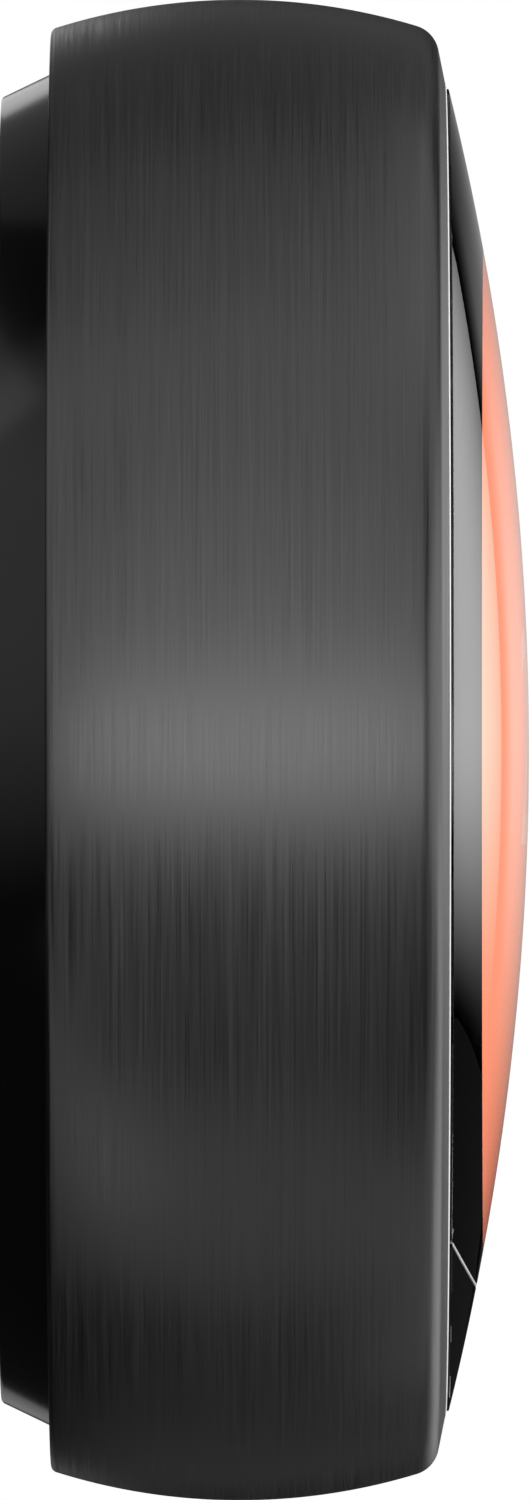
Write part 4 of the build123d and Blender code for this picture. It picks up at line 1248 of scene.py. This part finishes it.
@dataclass
class Studio:
    """Camera, floor, surroundings and soft lamps.

    Azimuth is counted from the camera's side (-X) towards the wall side (+Y).
    """

    lens: float = 560.0
    sensor: float = 36.0
    view_height: float = 84.0 * MM
    aim_out: float = 14.756 * MM
    floor_level: float = -75.0 * MM
    floor_radius: float = 0.95
    floor_thickness: float = 4.0 * MM
    floor_turns: int = 96
    floor_colour: Colour = (0.8, 0.8, 0.8)
    nearest_seen: float = 0.05
    farthest_seen: float = 10.0
    dimness: Colour = (0.012, 0.012, 0.012)
    lamp_distance: float = 1.5
    lamps: list[Softbox] = field(default_factory=lambda: [
        Softbox("near_glow", -5.0, 23.0, 76.0, 32.0, 0.72),
        Softbox("near_high", -5.0, 53.0, 76.0, 28.0, 0.56),
        Softbox("near_upper", -5.0, 74.0, 76.0, 20.0, 0.4),
        Softbox("overhead", 0.0, 92.0, 60.0, 20.0, 0.3),
        Softbox("near_low", -5.0, -34.0, 60.0, 24.0, 0.18),
        Softbox("under", 0.0, -72.0, 50.0, 40.0, 0.34),
        Softbox("far_high", 180.0, 50.0, 60.0, 64.0, 0.14),
        Softbox("far_low", -170.0, -56.0, 36.0, 56.0, 0.1),
        Softbox("far_strip", 171.0, 14.0, 10.0, 22.0, 0.9),
        Softbox("far_strip_low", 171.0, -14.0, 10.0, 16.0, 0.3),
        Softbox("far_room_low", -130.0, -17.0, 34.0, 30.0, 1.2),
        Softbox("room_level", -92.0, 3.0, 60.0, 30.0, 1.35),
        Softbox("far_room_foot", -157.0, -15.0, 20.0, 12.0, 0.8),
        Softbox("room_high", -104.0, 44.0, 50.0, 46.0, 0.6),
        Softbox("room_low", -104.0, -44.0, 50.0, 50.0, 0.4),
        Softbox("low_back", 46.0, -46.0, 12.0, 44.0, 0.6),
        Softbox("back_fill", 100.0, 30.0, 40.0, 40.0, 0.5),
    ])
    panels: list[SoftPanel] = field(default_factory=lambda: [
        SoftPanel("near_side", -5.0, 0.0, 84.0, 32.0, 2.8, left=0.1, right=0.1, bottom=0.5, top=0.5),
        SoftPanel("far_room", -146.0, 4.0, 42.0, 15.0, 1.3, left=0.36, right=0.1, bottom=0.26, top=0.5),
        SoftPanel("far_room_dim", -173.0, 1.5, 22.0, 10.0, 0.45, left=0.2, right=0.2, bottom=0.4, top=0.6),
        SoftPanel("wall_side", 62.0, 19.0, 44.0, 84.0, 0.58, bottom=0.48, top=0.34),
    ])

    def camera(self) -> None:
        """Long lens on the object's side, square to its axis."""
        data = bpy.data.cameras.new("side_camera")
        data.lens = self.lens
        data.sensor_width = self.sensor
        data.clip_start = self.nearest_seen
        data.clip_end = self.farthest_seen
        made = bpy.data.objects.new("side_camera", data)
        made.location = (-self.view_height * self.lens / self.sensor, -self.aim_out, 0.0)
        made.rotation_euler = (math.pi / 2, 0.0, -math.pi / 2)
        bpy.context.scene.collection.objects.link(made)
        bpy.context.scene.camera = made

    def floor(self) -> None:
        """Pale round floor below the object."""
        thick = self.floor_thickness
        outline = np.array([
            (0.0, 0.0), (self.floor_radius, 0.0), (self.floor_radius, thick), (0.0, thick)])
        grid = turned(outline, self.floor_turns)
        level = self.floor_level
        laid = np.stack((grid[..., 0], grid[..., 2], level + grid[..., 1]), axis=-1)
        made = shell("pale_floor", laid, True, PaleFloor("pale_floor", self.floor_colour))
        made.visible_glossy = False
        made.visible_shadow = False

    def lamp(self, box: Softbox) -> None:
        """One rectangular lamp that faces the object.

        Its power is the face's brightness times its area times pi, as for an even matt source.

        Args:
            box: What the lamp is like.
        """
        azimuth, elevation = math.radians(box.azimuth), math.radians(box.elevation)
        data = bpy.data.lights.new(box.name, "AREA")
        data.shape = "RECTANGLE"
        data.size = 2 * self.lamp_distance * math.tan(math.radians(box.width / 2))
        data.size_y = 2 * self.lamp_distance * math.tan(math.radians(box.height / 2))
        data.energy = box.brightness * data.size * data.size_y * math.pi
        made = bpy.data.objects.new(box.name, data)
        made.location = (
            -self.lamp_distance * math.cos(azimuth) * math.cos(elevation),
            self.lamp_distance * math.sin(azimuth) * math.cos(elevation),
            self.lamp_distance * math.sin(elevation))
        made.rotation_euler = (math.pi / 2 - elevation, 0.0, -math.pi / 2 - azimuth)
        made.visible_camera = False
        bpy.context.scene.collection.objects.link(made)

    def panel(self, box: SoftPanel) -> None:
        """One lit panel that faces the object and fades at its edges.

        Its corners are its middle, a lamp's distance away in its direction, plus and minus half its
        width along the level axis and half its height along the upright one.

        Args:
            box: What the panel is like.
        """
        azimuth, elevation = math.radians(box.azimuth), math.radians(box.elevation)
        toward = np.array([
            -math.cos(azimuth) * math.cos(elevation), math.sin(azimuth) * math.cos(elevation),
            math.sin(elevation)])
        level = np.array([math.sin(azimuth), math.cos(azimuth), 0.0])
        upright = np.cross(level, toward) * np.sign(np.cross(level, toward)[2])
        half = self.lamp_distance * np.tan(np.radians([box.width / 2, box.height / 2]))
        signs = np.array([(-1, -1), (1, -1), (1, 1), (-1, 1)])
        points = (toward * self.lamp_distance + signs[:, :1] * half[0] * level
                  + signs[:, 1:] * half[1] * upright)
        mesh = bpy.data.meshes.new(box.name)
        mesh.from_pydata(points.tolist(), [], [(0, 1, 2, 3)])
        spread = mesh.uv_layers.new(name="panel")
        spread.data.foreach_set("uv", ((signs + 1) / 2).ravel().astype(np.float32))
        made = placed(box.name, mesh, PanelGlow(
            box.name, box.brightness, box.left, box.right, box.bottom, box.top))
        made.visible_camera = False
        made.visible_shadow = False

    def surroundings(self) -> None:
        """White all round, but dim in reflections, so that the lamps alone draw the highlights."""
        world = bpy.data.worlds.new("white_studio")
        world.use_nodes = True
        tree = world.node_tree
        tree.nodes.clear()
        path = tree.nodes.new("ShaderNodeLightPath")
        plain = tree.nodes.new("ShaderNodeBackground")
        plain.inputs["Color"].default_value = (*WHITE, 1.0)
        dim = tree.nodes.new("ShaderNodeBackground")
        dim.inputs["Color"].default_value = (*self.dimness, 1.0)
        mix = tree.nodes.new("ShaderNodeMixShader")
        out = tree.nodes.new("ShaderNodeOutputWorld")
        tree.links.new(path.outputs["Is Glossy Ray"], mix.inputs[0])
        tree.links.new(plain.outputs[0], mix.inputs[1])
        tree.links.new(dim.outputs[0], mix.inputs[2])
        tree.links.new(mix.outputs[0], out.inputs[0])
        bpy.context.scene.world = world

    def build(self) -> None:
        """Sets the whole studio up."""
        self.camera()
        self.floor()
        self.surroundings()
        for box in self.lamps:
            self.lamp(box)
        for box in self.panels:
            self.panel(box)
        bpy.context.scene.view_settings.view_transform = "Standard"
        LOG.info("studio with %d lamps and %d panels", len(self.lamps), len(self.panels))


def main() -> None:
    """Builds the object's sub-assemblies in order, then the studio."""
    logging.basicConfig(level=logging.INFO, format="%(name)s: %(message)s")
    WallUnit().build()
    DisplayBack().build()
    DomedFront.from_frame().build()
    TurningRing.from_frame().build()
    Studio().build()


if __name__ == "__main__":
    main()
